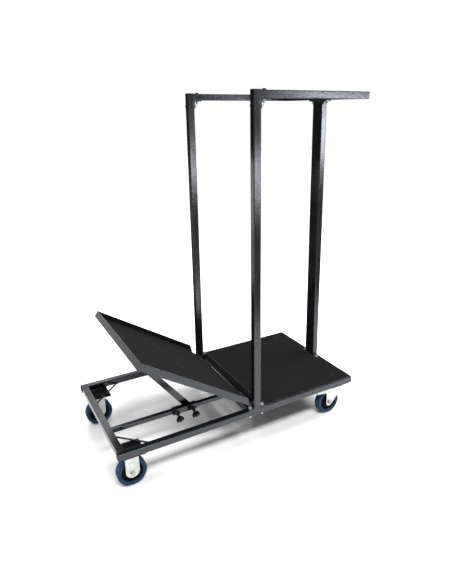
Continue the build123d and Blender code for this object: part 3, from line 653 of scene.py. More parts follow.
def skin(name: str, rings: Sequence[Sequence[Vector]], looped: bool) -> bpy.types.Mesh:
    """Join rings of points into a closed surface.

    Args:
        name: The mesh's name.
        rings: Rings with the same number of points each.
        looped: Whether the last ring joins the first, as in a tyre; otherwise both ends get a cap.

    Returns:
        A smooth mesh with its normals outward and its sharp edges marked.
    """
    work = bmesh.new()
    rows = [[work.verts.new(point) for point in ring] for ring in rings]
    count = len(rows[0])
    for lower, upper in zip(rows, rows[1:] + rows[:1] if looped else rows[1:]):
        for place in range(count):
            following = (place + 1) % count
            work.faces.new((lower[place], lower[following], upper[following], upper[place]))
    if not looped:
        work.faces.new(rows[0])
        work.faces.new(rows[-1])
    bmesh.ops.recalc_face_normals(work, faces=work.faces)
    for face in work.faces:
        face.smooth = True
    mesh = bpy.data.meshes.new(name)
    work.to_mesh(mesh)
    work.free()
    mesh.set_sharp_from_angle(angle=SMOOTH_ANGLE)
    return mesh


def round_turns(count: int) -> list[float]:
    """Angles of points spread evenly around a circle."""
    return [2 * math.pi * step / count for step in range(count)]


def ring(count: int, radius: Callable[[float], float], height: Callable[[float], float]) -> Path3:
    """Points around the Z axis whose radius and height may change with the angle.

    Args:
        count: Number of points.
        radius: Radius at an angle.
        height: Height at an angle.

    Returns:
        The ring's points.
    """
    return [Vector((radius(a) * math.cos(a), radius(a) * math.sin(a), height(a))) for a in round_turns(count)]


def arc(centre: tuple[float, float], radius: float, start: float, end: float, steps: int) -> Profile:
    """Points of an arc in a profile.

    Args:
        centre: Centre of the arc.
        radius: Its radius.
        start: First angle in degrees.
        end: Last angle in degrees.
        steps: Number of runs between them.

    Returns:
        The points, ends included.
    """
    turns = [math.radians(start + (end - start) * step / steps) for step in range(steps + 1)]
    return [(centre[0] + radius * math.cos(turn), centre[1] + radius * math.sin(turn)) for turn in turns]


def wheel_rings(profile: Profile, centre: Vector, count: int) -> list[Path3]:
    """Turn a profile of radius and offset about a wheel's axle, which runs along Y.

    Args:
        profile: Radius and sideways offset of each point.
        centre: The wheel's centre.
        count: Points around the wheel.

    Returns:
        One ring for each profile point.
    """
    return [
        [centre + Vector((radius * math.cos(a), offset, radius * math.sin(a))) for a in round_turns(count)]
        for radius, offset in profile
    ]


def path_mesh(name: str, paths: Iterable[Path3]) -> bpy.types.Mesh:
    """Make a mesh of edges that follow paths.

    Args:
        name: The mesh's name.
        paths: Open runs of points; a closed one repeats its first point.

    Returns:
        The mesh.
    """
    points: list[Vector] = []
    edges: list[tuple[int, int]] = []
    for path in paths:
        first = len(points)
        points.extend(path)
        edges.extend((first + step, first + step + 1) for step in range(len(path) - 1))
    mesh = bpy.data.meshes.new(name)
    mesh.from_pydata(points, edges, [])
    return mesh


def weld_tree() -> GeometryTree:
    """Tree of a weld bead: drops of uneven size laid along a path.

    Returns:
        The tree, with the bead's radius, pitch, unevenness and seed as inputs.
    """
    sizes = {"Bead radius": "Float", "Ripple pitch": "Float", "Unevenness": "Float", "Seed": "Int"}
    made = GeometryTree("weld_bead", sizes)
    made.add("line", "GeometryNodeMeshToCurve", {"Mesh": "given.Geometry"})
    pitch = {"Curve": "line.Curve", "Length": "given.Ripple pitch"}
    made.add("even", "GeometryNodeResampleCurve", pitch, mode="LENGTH")
    drop = {"Segments": DROP_SEGMENTS, "Rings": DROP_RINGS, "Radius": "given.Bead radius"}
    made.add("drop", "GeometryNodeMeshUVSphere", drop)
    made.add("along", "GeometryNodeInputTangent")
    made.add("heading", "FunctionNodeAlignRotationToVector", {"Vector": "along.Tangent"}, axis="X")
    made.add("smallest", "Math", (1.0, "given.Unevenness"), operation="SUBTRACT")
    spread = {"Min": "smallest.Value", "Max": 1.0, "Seed": "given.Seed"}
    made.add("size", "FunctionNodeRandomValue", spread, data_type="FLOAT")
    laid = {"Points": "even.Curve", "Instance": "drop.Mesh"}
    turned = {"Rotation": "heading.Rotation", "Scale": "size.Value"}
    made.add("laid", "GeometryNodeInstanceOnPoints", {**laid, **turned})
    return made.close("laid.Instances")


def fastener_tree() -> GeometryTree:
    """Tree of fasteners: one pattern piece stood on each point, along its facing, turned at random.

    Returns:
        The tree, with the pattern and the seed as inputs.
    """
    made = GeometryTree("fasteners_at_points", {"Pattern": "Object", "Seed": "Int"})
    made.add("facing", "GeometryNodeInputNamedAttribute", {"Name": "facing"}, data_type="FLOAT_VECTOR")
    made.add("stand", "FunctionNodeAlignRotationToVector", {"Vector": "facing.Attribute"}, axis="Z")
    spread = {"Min": 0.0, "Max": 2 * math.pi, "Seed": "given.Seed"}
    made.add("turn", "FunctionNodeRandomValue", spread, data_type="FLOAT")
    made.add("spin", "FunctionNodeAxisAngleToRotation", {"Axis": (0.0, 0.0, 1.0), "Angle": "turn.Value"})
    turned = {"Rotation": "stand.Rotation", "Rotate By": "spin.Rotation"}
    made.add("both", "FunctionNodeRotateRotation", turned, rotation_space="LOCAL")
    made.add("shape", "GeometryNodeObjectInfo", {"Object": "given.Pattern"})
    stood = {"Points": "given.Geometry", "Instance": "shape.Geometry", "Rotation": "both.Rotation"}
    made.add("stood", "GeometryNodeInstanceOnPoints", stood)
    return made.close("stood.Instances")


def rib_tree() -> GeometryTree:
    """Tree of a wheel centre's ribs: a bar on each side of the web, repeated around the hub.

    Returns:
        The tree, with the ribs' sizes and the wheel's centre as inputs.
    """
    sizes = {"Count": "Int", "Middle radius": "Float", "Rib size": "Vector", "Rib lift": "Float"}
    made = GeometryTree("wheel_ribs", {**sizes, "Wheel centre": "Vector"})
    made.add("places", "GeometryNodeMeshCircle", {"Vertices": "given.Count", "Radius": "given.Middle radius"})
    made.add("bar", "GeometryNodeMeshCube", {"Size": "given.Rib size"})
    made.add("up", "CombineXYZ", {"Z": "given.Rib lift"})
    made.add("fall", "VectorMath", {0: "up.Vector", "Scale": -1.0}, operation="SCALE")
    made.add("raised", "GeometryNodeTransform", {"Geometry": "bar.Mesh", "Translation": "up.Vector"})
    made.add("lowered", "GeometryNodeTransform", {"Geometry": "bar.Mesh", "Translation": "fall.Vector"})
    made.add("pair", "GeometryNodeJoinGeometry", ("raised.Geometry",))
    made.tree.links.new(made.tree.nodes["lowered"].outputs[0], made.tree.nodes["pair"].inputs[0])
    made.add("place", "GeometryNodeInputPosition")
    made.add("outward", "FunctionNodeAlignRotationToVector", {"Vector": "place.Position"}, axis="X")
    spread = {"Points": "places.Mesh", "Instance": "pair.Geometry", "Rotation": "outward.Rotation"}
    made.add("spread", "GeometryNodeInstanceOnPoints", spread)
    upright = {"Translation": "given.Wheel centre", "Rotation": (math.pi / 2, 0.0, 0.0)}
    made.add("stood", "GeometryNodeTransform", {"Geometry": "spread.Instances", **upright})
    return made.close("stood.Geometry")


def thread_tree() -> GeometryTree:
    """Tree of a screw thread: a small ridge along a helix.

    Returns:
        The tree, with the thread's sizes, its start and its lean about the X axis as inputs.
    """
    sizes = {name: "Float" for name in ("Radius", "Turns", "Length", "Ridge", "Lean")}
    made = GeometryTree("screw_thread", {**sizes, "Start": "Vector"})
    helix = {"Resolution": HELIX_STEPS, "Rotations": "given.Turns", "Height": "given.Length"}
    radius = {"Start Radius": "given.Radius", "End Radius": "given.Radius"}
    made.add("helix", "GeometryNodeCurveSpiral", {**helix, **radius})
    section = {"Resolution": RIDGE_SIDES, "Radius": "given.Ridge"}
    made.add("section", "GeometryNodeCurvePrimitiveCircle", section)
    swept = {"Curve": "helix.Curve", "Profile Curve": "section.Curve", "Fill Caps": True}
    made.add("swept", "GeometryNodeCurveToMesh", swept)
    made.add("heading", "CombineXYZ", {"X": "given.Lean"})
    laid = {"Geometry": "swept.Mesh", "Translation": "given.Start", "Rotation": "heading.Vector"}
    made.add("laid", "GeometryNodeTransform", laid)
    return made.close("laid.Geometry")


@dataclass
class Welder:
    """Lays weld beads along paths, one mesh for each body."""

    bead_radius: float = 2.3 * MM
    ripple_pitch: float = 2.4 * MM
    unevenness: float = 0.22
    inset: float = 2.8 * MM
    seed: int = 7
    tree: GeometryTree = field(default_factory=weld_tree)

    def lay(self, body: str, paths: Sequence[Path3]) -> bpy.types.Object:
        """Lay the beads of one body.

        Args:
            body: The body that carries them.
            paths: The lines that the beads follow.

        Returns:
            The piece.
        """
        name = f"{body}_weld_beads"
        sizes = {
            "Bead radius": self.bead_radius,
            "Ripple pitch": self.ripple_pitch,
            "Unevenness": self.unevenness,
            "Seed": self.seed,
        }
        mesh = self.tree.bake(name, path_mesh(name + "_paths", paths), POWDER_COAT, sizes)
        return put_piece(name, mesh, POWDER_COAT, body)


@dataclass
class Hardware:
    """Flanged hexagon bolts and domed cap nuts, stood where the CAD fasteners are."""

    across: float = 13.0 * MM
    head_height: float = 5.3 * MM
    crown_share: float = 0.95
    crown_slope: float = 0.5
    nut_height: float = 15.0 * MM
    nut_hexagon: float = 7.0 * MM
    dome: float = 12.0 * MM
    dome_steps: int = 5
    dome_tip: float = 0.04
    flange: float = 17.0 * MM
    flange_height: float = 1.1 * MM
    flange_edge: float = 0.6
    flange_taper: float = 0.95
    flange_neck: float = 1.35
    sides: int = 24
    seed: int = 11
    tree: GeometryTree = field(default_factory=fastener_tree)

    def hexagon_rings(self, height: float) -> list[Path3]:
        """Rings of a flanged hexagon with its corners turned off by a cone.

        Args:
            height: Height over the seat.

        Returns:
            Rings from the seat to the top.
        """
        flat = self.across / 2
        crown = self.crown_share * flat
        sixth = math.pi / 3

        def hexagon(angle: float) -> float:
            """Reach of the hexagon at an angle."""
            return flat / math.cos((angle + sixth / 2) % sixth - sixth / 2)

        def rim(angle: float) -> float:
            """Height at which the cone meets the side."""
            return height - self.crown_slope * (hexagon(angle) - crown)

        skirt = self.flange / 2
        low = self.flange_height
        return [
            ring(self.sides, lambda a: skirt, lambda a: 0.0),
            ring(self.sides, lambda a: skirt, lambda a: self.flange_edge * low),
            ring(self.sides, lambda a: self.flange_taper * skirt, lambda a: low),
            ring(self.sides, hexagon, lambda a: self.flange_neck * low),
            ring(self.sides, hexagon, rim),
            ring(self.sides, lambda a: crown, lambda a: height),
        ]

    def head_mesh(self) -> bpy.types.Mesh:
        """Bolt head over its seat."""
        return skin("flange_bolt_head", self.hexagon_rings(self.head_height), looped=False)

    def nut_mesh(self) -> bpy.types.Mesh:
        """Cap nut over its seat: a flanged hexagon under a dome.

        Returns:
            The mesh.
        """
        rings = self.hexagon_rings(self.nut_hexagon)
        reach = self.dome / 2
        shoulder = self.nut_height - reach
        rings.append(ring(self.sides, lambda a: reach, lambda a: self.nut_hexagon))
        for step in range(self.dome_steps):
            climb = math.pi / 2 * step / self.dome_steps
            width = reach * math.cos(climb)
            top = shoulder + reach * math.sin(climb)
            rings.append(ring(self.sides, lambda a, r=width: r, lambda a, z=top: z))
        rings.append(ring(self.sides, lambda a: self.dome_tip * reach, lambda a: self.nut_height))
        return skin("cap_nut", rings, looped=False)

    def stand(
        self,
        name: str,
        pattern: bpy.types.Mesh,
        seats: Sequence[Seat],
        stands_for: Sequence[str] = (),
        finish: Finish = ZINC_PLATE,
    ) -> bpy.types.Object:
        """Stand a pattern on every seat of the base.

        Args:
            name: The piece's name.
            pattern: The fastener, on its seat at the origin.
            seats: Place and facing of each fastener.
            stands_for: CAD nodes that the fasteners replace.
            finish: Their finish.

        Returns:
            The piece.
        """
        points = bpy.data.meshes.new(name + "_seats")
        points.from_pydata([place for place, _ in seats], [], [])
        attribute = points.attributes.new("facing", "FLOAT_VECTOR", "POINT")
        for entry, (_, facing) in zip(attribute.data, seats):
            entry.vector = facing
        model = bpy.data.objects.new(name + "_pattern", pattern)
        bpy.context.scene.collection.objects.link(model)
        mesh = self.tree.bake(name, points, finish, {"Pattern": model, "Seed": self.seed})
        bpy.data.objects.remove(model)
        return put_piece(name, mesh, finish, "base", stands_for)

    def bolted(self, bolts: list[Box], nuts: list[Box]) -> tuple[list[Seat], list[Seat]]:
        """Find the seats of through bolts.

        Args:
            bolts: Boxes of the CAD bolts.
            nuts: Boxes of the CAD nuts.

        Returns:
            Seats of the heads and seats of the nuts.
        """
        heads = []
        seats = []
        for low, high in bolts:
            span = high - low
            axis = max(range(3), key=lambda step: span[step])
            middle = (low + high) / 2
            partner = min(nuts, key=lambda nut: ((nut[0] + nut[1]) / 2 - middle).length)
            nut_middle = (partner[0] + partner[1]) / 2
            facing = Vector((0.0, 0.0, 0.0))
            facing[axis] = math.copysign(1.0, middle[axis] - nut_middle[axis])
            heads.append((middle + facing * (span[axis] / 2 - self.head_height), facing))
            seats.append((nut_middle + facing * self.nut_height / 2, -facing))
        return heads, seats


@dataclass
class BaseFrame:
    """Tube base: side rails, cross beams, slider rail, stays, caster pads and caps."""

    nodes: dict[str, bpy.types.Object]
    welder: Welder
    rails: tuple[str, ...] = ("side_rail_near", "side_rail_far", "slider_rail", "corner_stays")
    beams: tuple[str, ...] = ("tray_end_beam", "deck_end_beam", "hinge_beam", "deck_bearer")
    matt: tuple[str, ...] = ("caster_pads", "deck_beam")
    stay_bead: float = 4.6 * MM
    stay_bead_steps: int = 12

    def beam_welds(self) -> list[Path3]:
        """Upright beads in the inside corners between the beams and the rails.

        Returns:
            The paths.
        """
        outer = {"tray_end_beam": "low", "deck_end_beam": "high"}
        paths = []
        for name in ("tray_end_beam", "hinge_beam", "deck_beam", "deck_end_beam"):
            low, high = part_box(name)
            sides = {"low": low.x, "high": high.x}
            sides.pop(outer.get(name, ""), None)
            for x in sides.values():
                for y in (low.y, high.y):
                    bottom = Vector((x, y, low.z + self.welder.inset))
                    paths.append([bottom, Vector((x, y, high.z - self.welder.inset))])
        return paths

    def slider_rail_welds(self) -> list[Path3]:
        """Beads around both ends of the slider rail.

        Returns:
            The paths.
        """
        low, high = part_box("slider_rail")
        square = ((low.y, low.z), (high.y, low.z), (high.y, high.z), (low.y, high.z), (low.y, low.z))
        return [[Vector((x, y, z)) for y, z in square] for x in (low.x, high.x)]

    def pad_welds(self) -> list[Path3]:
        """Beads along the caster pads, against the rails above and beside them.

        Returns:
            The paths.
        """
        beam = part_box("tray_end_beam")[1].x
        paths = []
        for low, high in islands(self.nodes["caster_pads"]):
            outer_y = low.y if low.y < 0 else high.y
            inner_y = high.y if low.y < 0 else low.y
            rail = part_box("side_rail_near" if low.y < 0 else "side_rail_far")
            rail_y = rail[1].y if low.y < 0 else rail[0].y
            paths.append([Vector((low.x, outer_y, high.z)), Vector((high.x, outer_y, high.z))])
            if low.x < 0:
                corner = Vector((beam, rail_y, high.z))
                paths.append([corner, Vector((high.x, rail_y, high.z))])
                paths.append([corner, Vector((beam, inner_y, high.z))])
        return paths

    def stay_welds(self) -> list[Path3]:
        """Beads around the ends of the corner stays.

        Returns:
            The paths.
        """
        steps = [2 * math.pi * step / self.stay_bead_steps for step in range(self.stay_bead_steps + 1)]
        tall = self.stay_bead
        wide = tall * math.sqrt(2)
        paths = []
        for low, high in islands(self.nodes["corner_stays"]):
            middle = (low.z + high.z) / 2
            near = low.y < 0
            on_beam = Vector((low.x, high.y if near else low.y, middle))
            on_rail = Vector((high.x, low.y if near else high.y, middle))
            on_beam.y += -tall if near else tall
            on_rail.x -= tall
            paths.append([on_beam + Vector((0, wide * math.cos(a), tall * math.sin(a))) for a in steps])
            paths.append([on_rail + Vector((wide * math.cos(a), 0, tall * math.sin(a))) for a in steps])
        return paths

    def post_welds(self) -> list[Path3]:
        """Beads between the posts and their plates.

        Returns:
            The paths.
        """
        inset = self.welder.inset
        paths = []
        for name in ("post_near", "post_far"):
            low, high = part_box(name)
            for x in (low.x, high.x):
                paths.append([Vector((x, low.y + inset, low.z)), Vector((x, high.y - inset, low.z))])
        low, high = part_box("post_end")
        for z in (low.z, high.z):
            for y in (low.y, high.y):
                paths.append([Vector((low.x + inset, y, z)), Vector((high.x - inset, y, z))])
        return paths

    def build(self) -> None:
        """Dress the base and lay its welds."""
        dress(self.nodes, (*self.rails, *self.beams, "hinge_frame_leaves"), POWDER_COAT)
        dress(self.nodes, self.matt, MATT_COAT)
        dress(self.nodes, ("tube_end_caps",), PLASTIC)
        dress(self.nodes, ("hinge_pins",), ZINC_PLATE)
        paths = self.beam_welds() + self.slider_rail_welds() + self.pad_welds() + self.stay_welds()
        self.welder.lay("base", paths + self.post_welds())


@dataclass
class PostFrame:
    """Posts and top bars over the deck, with their bolts."""

    nodes: dict[str, bpy.types.Object]
    hardware: Hardware
    posts: tuple[str, ...] = ("post_near", "post_far", "post_end", "side_post_feet", "end_post_plates")
    bars: tuple[str, ...] = ("top_bar_near", "top_bar_far", "top_bar_end", "corner_brackets")
    top_bolts_from: float = 1.2

    def build(self) -> None:
        """Dress the steel and stand the bolts, blackened in the top frame, and the nuts."""
        dress(self.nodes, self.posts + self.bars, POWDER_COAT)
        heads, seats = self.hardware.bolted(
            islands(self.nodes["frame_bolts"]), islands(self.nodes["frame_nuts"])
        )
        low = [seat for seat in heads if seat[0].z < self.top_bolts_from]
        high = [seat for seat in heads if seat[0].z >= self.top_bolts_from]
        self.hardware.stand("flange_bolts", self.hardware.head_mesh(), low, ["frame_bolts"])
        self.hardware.stand("top_flange_bolts", self.hardware.head_mesh(), high, finish=BLACK_OXIDE)
        self.hardware.stand("cap_nuts", self.hardware.nut_mesh(), seats, ["frame_nuts"])


@dataclass
class Deck:
    """Board over the decked half, with its screws."""

    nodes: dict[str, bpy.types.Object]

    def build(self) -> None:
        """Dress the board and its screws."""
        dress(self.nodes, ("deck_board",), BOARD)
        dress(self.nodes, ("deck_screws",), BLACK_OXIDE)


@dataclass
class Tray:
    """Hinged tray: angle lips, flat bars, board and the strut's lug."""

    nodes: dict[str, bpy.types.Object]
    welder: Welder
    lips: tuple[str, ...] = ("tray_end_lip", "tray_lip_near", "tray_lip_far")
    fittings: tuple[str, ...] = ("hinge_tray_leaves", "strut_lug")
    hinge: tuple[float, float] = (38.3 * MM, 195.8 * MM)
    tilt: float = 32.6
    length: float = 636.3 * MM
    half_width: float = 312.0 * MM
    lip: float = 3.0 * MM
    lip_start: float = 46.3 * MM
    leg: float = 30.0 * MM
    floor: float = 1.5 * MM
    board_top: float = 8.5 * MM
    lip_top: float = 31.5 * MM
    bars: tuple[tuple[float, float], ...] = ((16.0 * MM, 86.0 * MM), (531.0 * MM, 601.0 * MM))

    def place(self, along: float, across: float, up: float) -> Vector:
        """Find a point of the tilted tray.

        Args:
            along: Distance from the hinge line.
            across: Distance from the middle, to the far side.
            up: Height over the hinge plane.

        Returns:
            The point.
        """
        turn = math.radians(self.tilt)
        x, z = self.hinge
        x += up * math.sin(turn) - along * math.cos(turn)
        z += up * math.cos(turn) + along * math.sin(turn)
        return Vector((x, across, z))

    def welds(self) -> list[Path3]:
        """Beads inside the corners of the free end, and under the ends of the flat bars.

        Returns:
            The paths.
        """
        inset = self.welder.inset
        end = self.length - self.lip
        paths = []
        for side in (-1.0, 1.0):
            wall = side * (self.half_width - self.lip)
            paths.append([self.place(end, wall, self.board_top), self.place(end, wall, self.lip_top - inset)])
            leg = side * (self.half_width - self.leg)
            for start, stop in self.bars:
                first = max(start, self.lip_start) + inset
                paths.append([self.place(first, leg, self.floor), self.place(stop - inset, leg, self.floor)])
        return paths

    def build(self) -> None:
        """Dress the tray and lay its welds."""
        dress(self.nodes, self.lips + self.fittings, POWDER_COAT)
        # The cross bars' pale edges are a painted highlight.
        dress(self.nodes, ("tray_cross_bars",), EDGE_HIGHLIGHT_COAT)
        dress(self.nodes, ("tray_board",), BOARD)
        self.welder.lay("tray", self.welds())


@dataclass
class Prop:
    """Strut, slider and clamping knobs."""

    nodes: dict[str, bpy.types.Object]
    welder: Welder
    steel: tuple[str, ...] = ("strut", "slider_sleeve", "knob_bosses")
    zinc: tuple[str, ...] = ("lug_pin", "slider_pin")
    studs: tuple[str, ...] = ("knob_stud_left", "knob_stud_right")
    plastic: tuple[str, ...] = ("knob_head_left", "knob_head_right")
    thread_radius: float = 4.0 * MM
    thread_pitch: float = 1.25 * MM
    thread_ridge: float = 0.45 * MM
    knob_lean: float = 28.0
    knob_drop: float = 8.0 * MM
    boss_reach: float = 12.0 * MM
    hub_reach: float = 22.0 * MM
    boss_bead_steps: int = 32
    tree: GeometryTree = field(default_factory=thread_tree)

    def stud_foot(self, x: float) -> Vector:
        """Find where a clamping screw's axis leaves the slider's near face.

        Args:
            x: The screw's place along the slider.

        Returns:
            The point.
        """
        low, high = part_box("slider_rail")
        return Vector((x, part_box("slider_sleeve")[0].y, (low.z + high.z) / 2 - self.knob_drop))

    def boss_welds(self) -> list[Path3]:
        """Beads around the feet of the leaning knob bosses, where the sleeve is behind them.

        Returns:
            The paths.
        """
        paths = []
        steps = [2 * math.pi * step / self.boss_bead_steps for step in range(self.boss_bead_steps + 1)]
        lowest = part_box("slider_sleeve")[0].z
        stretch = 1.0 / math.cos(math.radians(self.knob_lean))
        for low, high in islands(self.nodes["knob_bosses"]):
            reach = (high.x - low.x) / 2
            foot = self.stud_foot((low.x + high.x) / 2)
            offsets = [Vector((reach * math.sin(a), 0, -reach * stretch * math.cos(a))) for a in steps]
            paths.append([foot + offset for offset in offsets if (foot + offset).z > lowest])
        return paths

    def thread(self, side: str) -> None:
        """Cut the thread of one clamping screw, from its boss to the knob's hub.

        Args:
            side: left or right.
        """
        name = f"knob_thread_{side}"
        low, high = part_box(f"knob_stud_{side}")
        lean = math.radians(self.knob_lean)
        outward = Vector((0.0, -math.cos(lean), -math.sin(lean)))
        length = self.hub_reach - self.boss_reach
        sizes = {
            "Radius": self.thread_radius,
            "Turns": length / self.thread_pitch,
            "Length": length,
            "Ridge": self.thread_ridge,
            "Start": self.stud_foot((low.x + high.x) / 2) + self.boss_reach * outward,
            "Lean": math.pi / 2 + lean,
        }
        mesh = self.tree.bake(name, bpy.data.meshes.new(name + "_start"), BLACK_OXIDE, sizes)
        put_piece(name, mesh, BLACK_OXIDE, f"knob_{side}")

    def build(self) -> None:
        """Dress the prop, and add its threads and welds."""
        dress(self.nodes, self.steel, POWDER_COAT)
        dress(self.nodes, self.zinc, ZINC_PLATE)
        dress(self.nodes, self.studs, BLACK_OXIDE)
        dress(self.nodes, self.plastic, PLASTIC)
        for side in ("left", "right"):
            self.thread(side)
        self.welder.lay("slider", self.boss_welds())


@dataclass
class Casters:
    """Two fixed and two swivel casters with blue tyres on black wheel centres."""

    nodes: dict[str, bpy.types.Object]
    hardware: Hardware
    forks: tuple[str, ...] = ("fixed_fork_near", "fixed_fork_far", "swivel_fork_near", "swivel_fork_far")
    swivels: tuple[str, ...] = ("swivel_plates", "king_pins")
    axles: tuple[str, ...] = ("fixed_axles", "swivel_axle_near", "swivel_axle_far")
    tyre_radius: float = 62.49 * MM
    tyre_half: float = 18.0 * MM
    tread_from: float = 0.97
    shoulder: float = 3.0 * MM
    shoulder_steps: int = 8
    sidewall_foot: float = 49.0 * MM
    sidewall_run: float = 1.2 * MM
    sidewall_rise: float = 2.0 * MM
    sidewall_dip: float = 0.8 * MM
    seat_radius: float = 47.0 * MM
    seat_half: float = 15.5 * MM
    seat_edge: float = 0.4 * MM
    hub_radius: float = 18.0 * MM
    hub_half: float = 21.0 * MM
    hub_draft: float = 0.8 * MM
    bore: float = 8.2 * MM
    web_half: float = 6.0 * MM
    rim_inside: float = 41.0 * MM
    soft_edge: float = 1.2 * MM
    ribs: int = 8
    rib_thickness: float = 3.0 * MM
    rib_height: float = 6.0 * MM
    rib_overlap: float = 2.0 * MM
    rib_sink: float = 0.5 * MM
    round_steps: int = 96
    tree: GeometryTree = field(default_factory=rib_tree)

    def tyre_profile(self) -> Profile:
        """Closed section of the tyre, from one rim seat over the tread to the other.

        Returns:
            Radius and offset of each point.
        """
        corner = (self.tyre_radius - self.shoulder, self.tyre_half - self.shoulder)
        right = [
            (self.seat_radius, self.seat_half),
            (self.sidewall_foot - self.sidewall_run, self.seat_half),
            (self.sidewall_foot, self.tyre_half - self.sidewall_dip),
            (self.sidewall_foot + self.sidewall_rise, self.tyre_half),
            *arc(corner, self.shoulder, 90, 0, self.shoulder_steps),
        ]
        left = [(radius, -offset) for radius, offset in reversed(right)]
        return [*right, (self.tyre_radius, 0.0), *left]

    def rim_profile(self) -> Profile:
        """Closed section of the wheel centre, from the bore round the rim and back.

        Returns:
            Radius and offset of each point.
        """
        soft = self.soft_edge
        side = [
            (self.bore, self.hub_half),
            (self.hub_radius - soft, self.hub_half),
            (self.hub_radius, self.hub_half - soft),
            (self.hub_radius + self.hub_draft, self.web_half + 2 * soft),
            (self.hub_radius + 3 * soft, self.web_half),
            (self.rim_inside - 2 * soft, self.web_half),
            (self.rim_inside, self.web_half + 2 * soft),
            (self.rim_inside + soft / 2, self.seat_half - soft),
            (self.rim_inside + 1.5 * soft, self.seat_half),
            (self.seat_radius - self.seat_edge, self.seat_half),
            (self.seat_radius, self.seat_half - self.seat_edge),
        ]
        return side + [(radius, -offset) for radius, offset in reversed(side)]

    def wheel(self, corner: Corner) -> None:
        """Make one wheel's tyre, centre and ribs.

        Args:
            corner: Which caster.
        """
        name = corner.value
        body = f"wheel_{name}"
        low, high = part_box(f"tyre_{name}")
        centre = (low + high) / 2
        tyre_rings = wheel_rings(self.tyre_profile(), centre, self.round_steps)
        tyre = skin(f"tyre_{name}_rubber", tyre_rings, looped=True)
        wear = tyre.attributes.new(RUBBER.wear, "FLOAT", "POINT")
        for step, vertex in enumerate(tyre.vertices):
            offset = vertex.co - centre
            reach = math.hypot(offset.x, offset.z) / self.tyre_radius
            wear.data[step].value = max(0.0, min(1.0, (reach - self.tread_from) / (1.0 - self.tread_from)))
        put_piece(f"tyre_{name}_rubber", tyre, RUBBER, body, [f"tyre_{name}"])
        rim_rings = wheel_rings(self.rim_profile(), centre, self.round_steps)
        rim = skin(f"rim_{name}_moulding", rim_rings, looped=True)
        put_piece(f"rim_{name}_moulding", rim, PLASTIC, body, [f"rim_{name}"])
        reach = self.rim_inside - self.hub_radius + self.rib_overlap
        sizes = {
            "Count": self.ribs,
            "Middle radius": (self.rim_inside + self.hub_radius) / 2,
            "Rib size": Vector((reach, self.rib_thickness, self.rib_height)),
            "Rib lift": self.web_half + self.rib_height / 2 - self.rib_sink,
            "Wheel centre": centre,
        }
        name = f"rim_{name}_ribs"
        ribs = self.tree.bake(name, bpy.data.meshes.new(name + "_start"), PLASTIC, sizes)
        put_piece(name, ribs, PLASTIC, body)

    def build(self) -> None:
        """Dress the forks and make the wheels and the plate bolts."""
        dress(self.nodes, self.forks + self.swivels, ZINC_PLATE)
        # The axles take the zinc that is painted darker as shade.
        dress(self.nodes, self.axles, PAINTED_SHADE_ZINC)
        for corner in Corner:
            self.wheel(corner)
        seats = []
        for low, high in islands(self.nodes["caster_bolts"]):
            middle = (low + high) / 2
            seats.append((Vector((middle.x, middle.y, low.z + self.hardware.head_height)), DOWN))
        self.hardware.stand("plate_bolts", self.hardware.head_mesh(), seats, ["caster_bolts"])


class LampRole(Enum):
    """What a lamp does in the studio."""

    WHOLE = "lights surfaces and shows in reflections"
    FILL = "lights surfaces only"
    GLEAM = "shows in reflections only"


@dataclass(frozen=True)
class Softbox:
    """A rectangular lamp that faces a point."""

    name: str
    place: Place
    target: Place
    width: float
    height: float
    watts: float
    role: LampRole = LampRole.WHOLE

    def build(self) -> None:
        """Hang the lamp."""
        data = bpy.data.lights.new(self.name, "AREA")
        data.shape = "RECTANGLE"
        data.size = self.width
        data.size_y = self.height
        data.energy = self.watts
        lamp = bpy.data.objects.new(self.name, data)
        lamp.location = self.place
        aim = Vector(self.target) - Vector(self.place)
        lamp.rotation_euler = aim.to_track_quat("-Z", "Y").to_euler()
        lamp.visible_camera = False
        lamp.visible_diffuse = self.role is not LampRole.GLEAM
        lamp.visible_glossy = self.role is not LampRole.FILL
        bpy.context.scene.collection.objects.link(lamp)


def upright(x: tuple[float, float], y: float, z: tuple[float, float]) -> tuple[Place, ...]:
    """Corners of an upright panel that faces along Y."""
    return (x[0], y, z[0]), (x[1], y, z[0]), (x[1], y, z[1]), (x[0], y, z[1])


def lying(*corners: tuple[float, float]) -> tuple[Place, ...]:
    """Corners of a panel that lies just over the floor."""
    return tuple((x, y, FLOOR_FLAG_LIFT) for x, y in corners)


@dataclass(frozen=True)
class Flag:
    """A dark panel that only reflections see, as a studio uses to tone glossy sides down."""

    name: str
    corners: tuple[Place, ...]
    glow: float = 0.004

    def build(self) -> None:
        """Stand the panel."""
        mesh = bpy.data.meshes.new(self.name)
        mesh.from_pydata([Vector(corner) for corner in self.corners], [], [tuple(range(len(self.corners)))])
        material = bpy.data.materials.new(self.name)
        tree = bare_tree(material)
        add_node(tree, "cloth", "Emission", {"Strength": self.glow})
        add_node(tree, "output", "OutputMaterial", {"Surface": "cloth.Emission"})
        mesh.materials.append(material)
        panel = bpy.data.objects.new(self.name, mesh)
        panel.visible_camera = False
        panel.visible_diffuse = False
        panel.visible_shadow = False
        bpy.context.scene.collection.objects.link(panel)


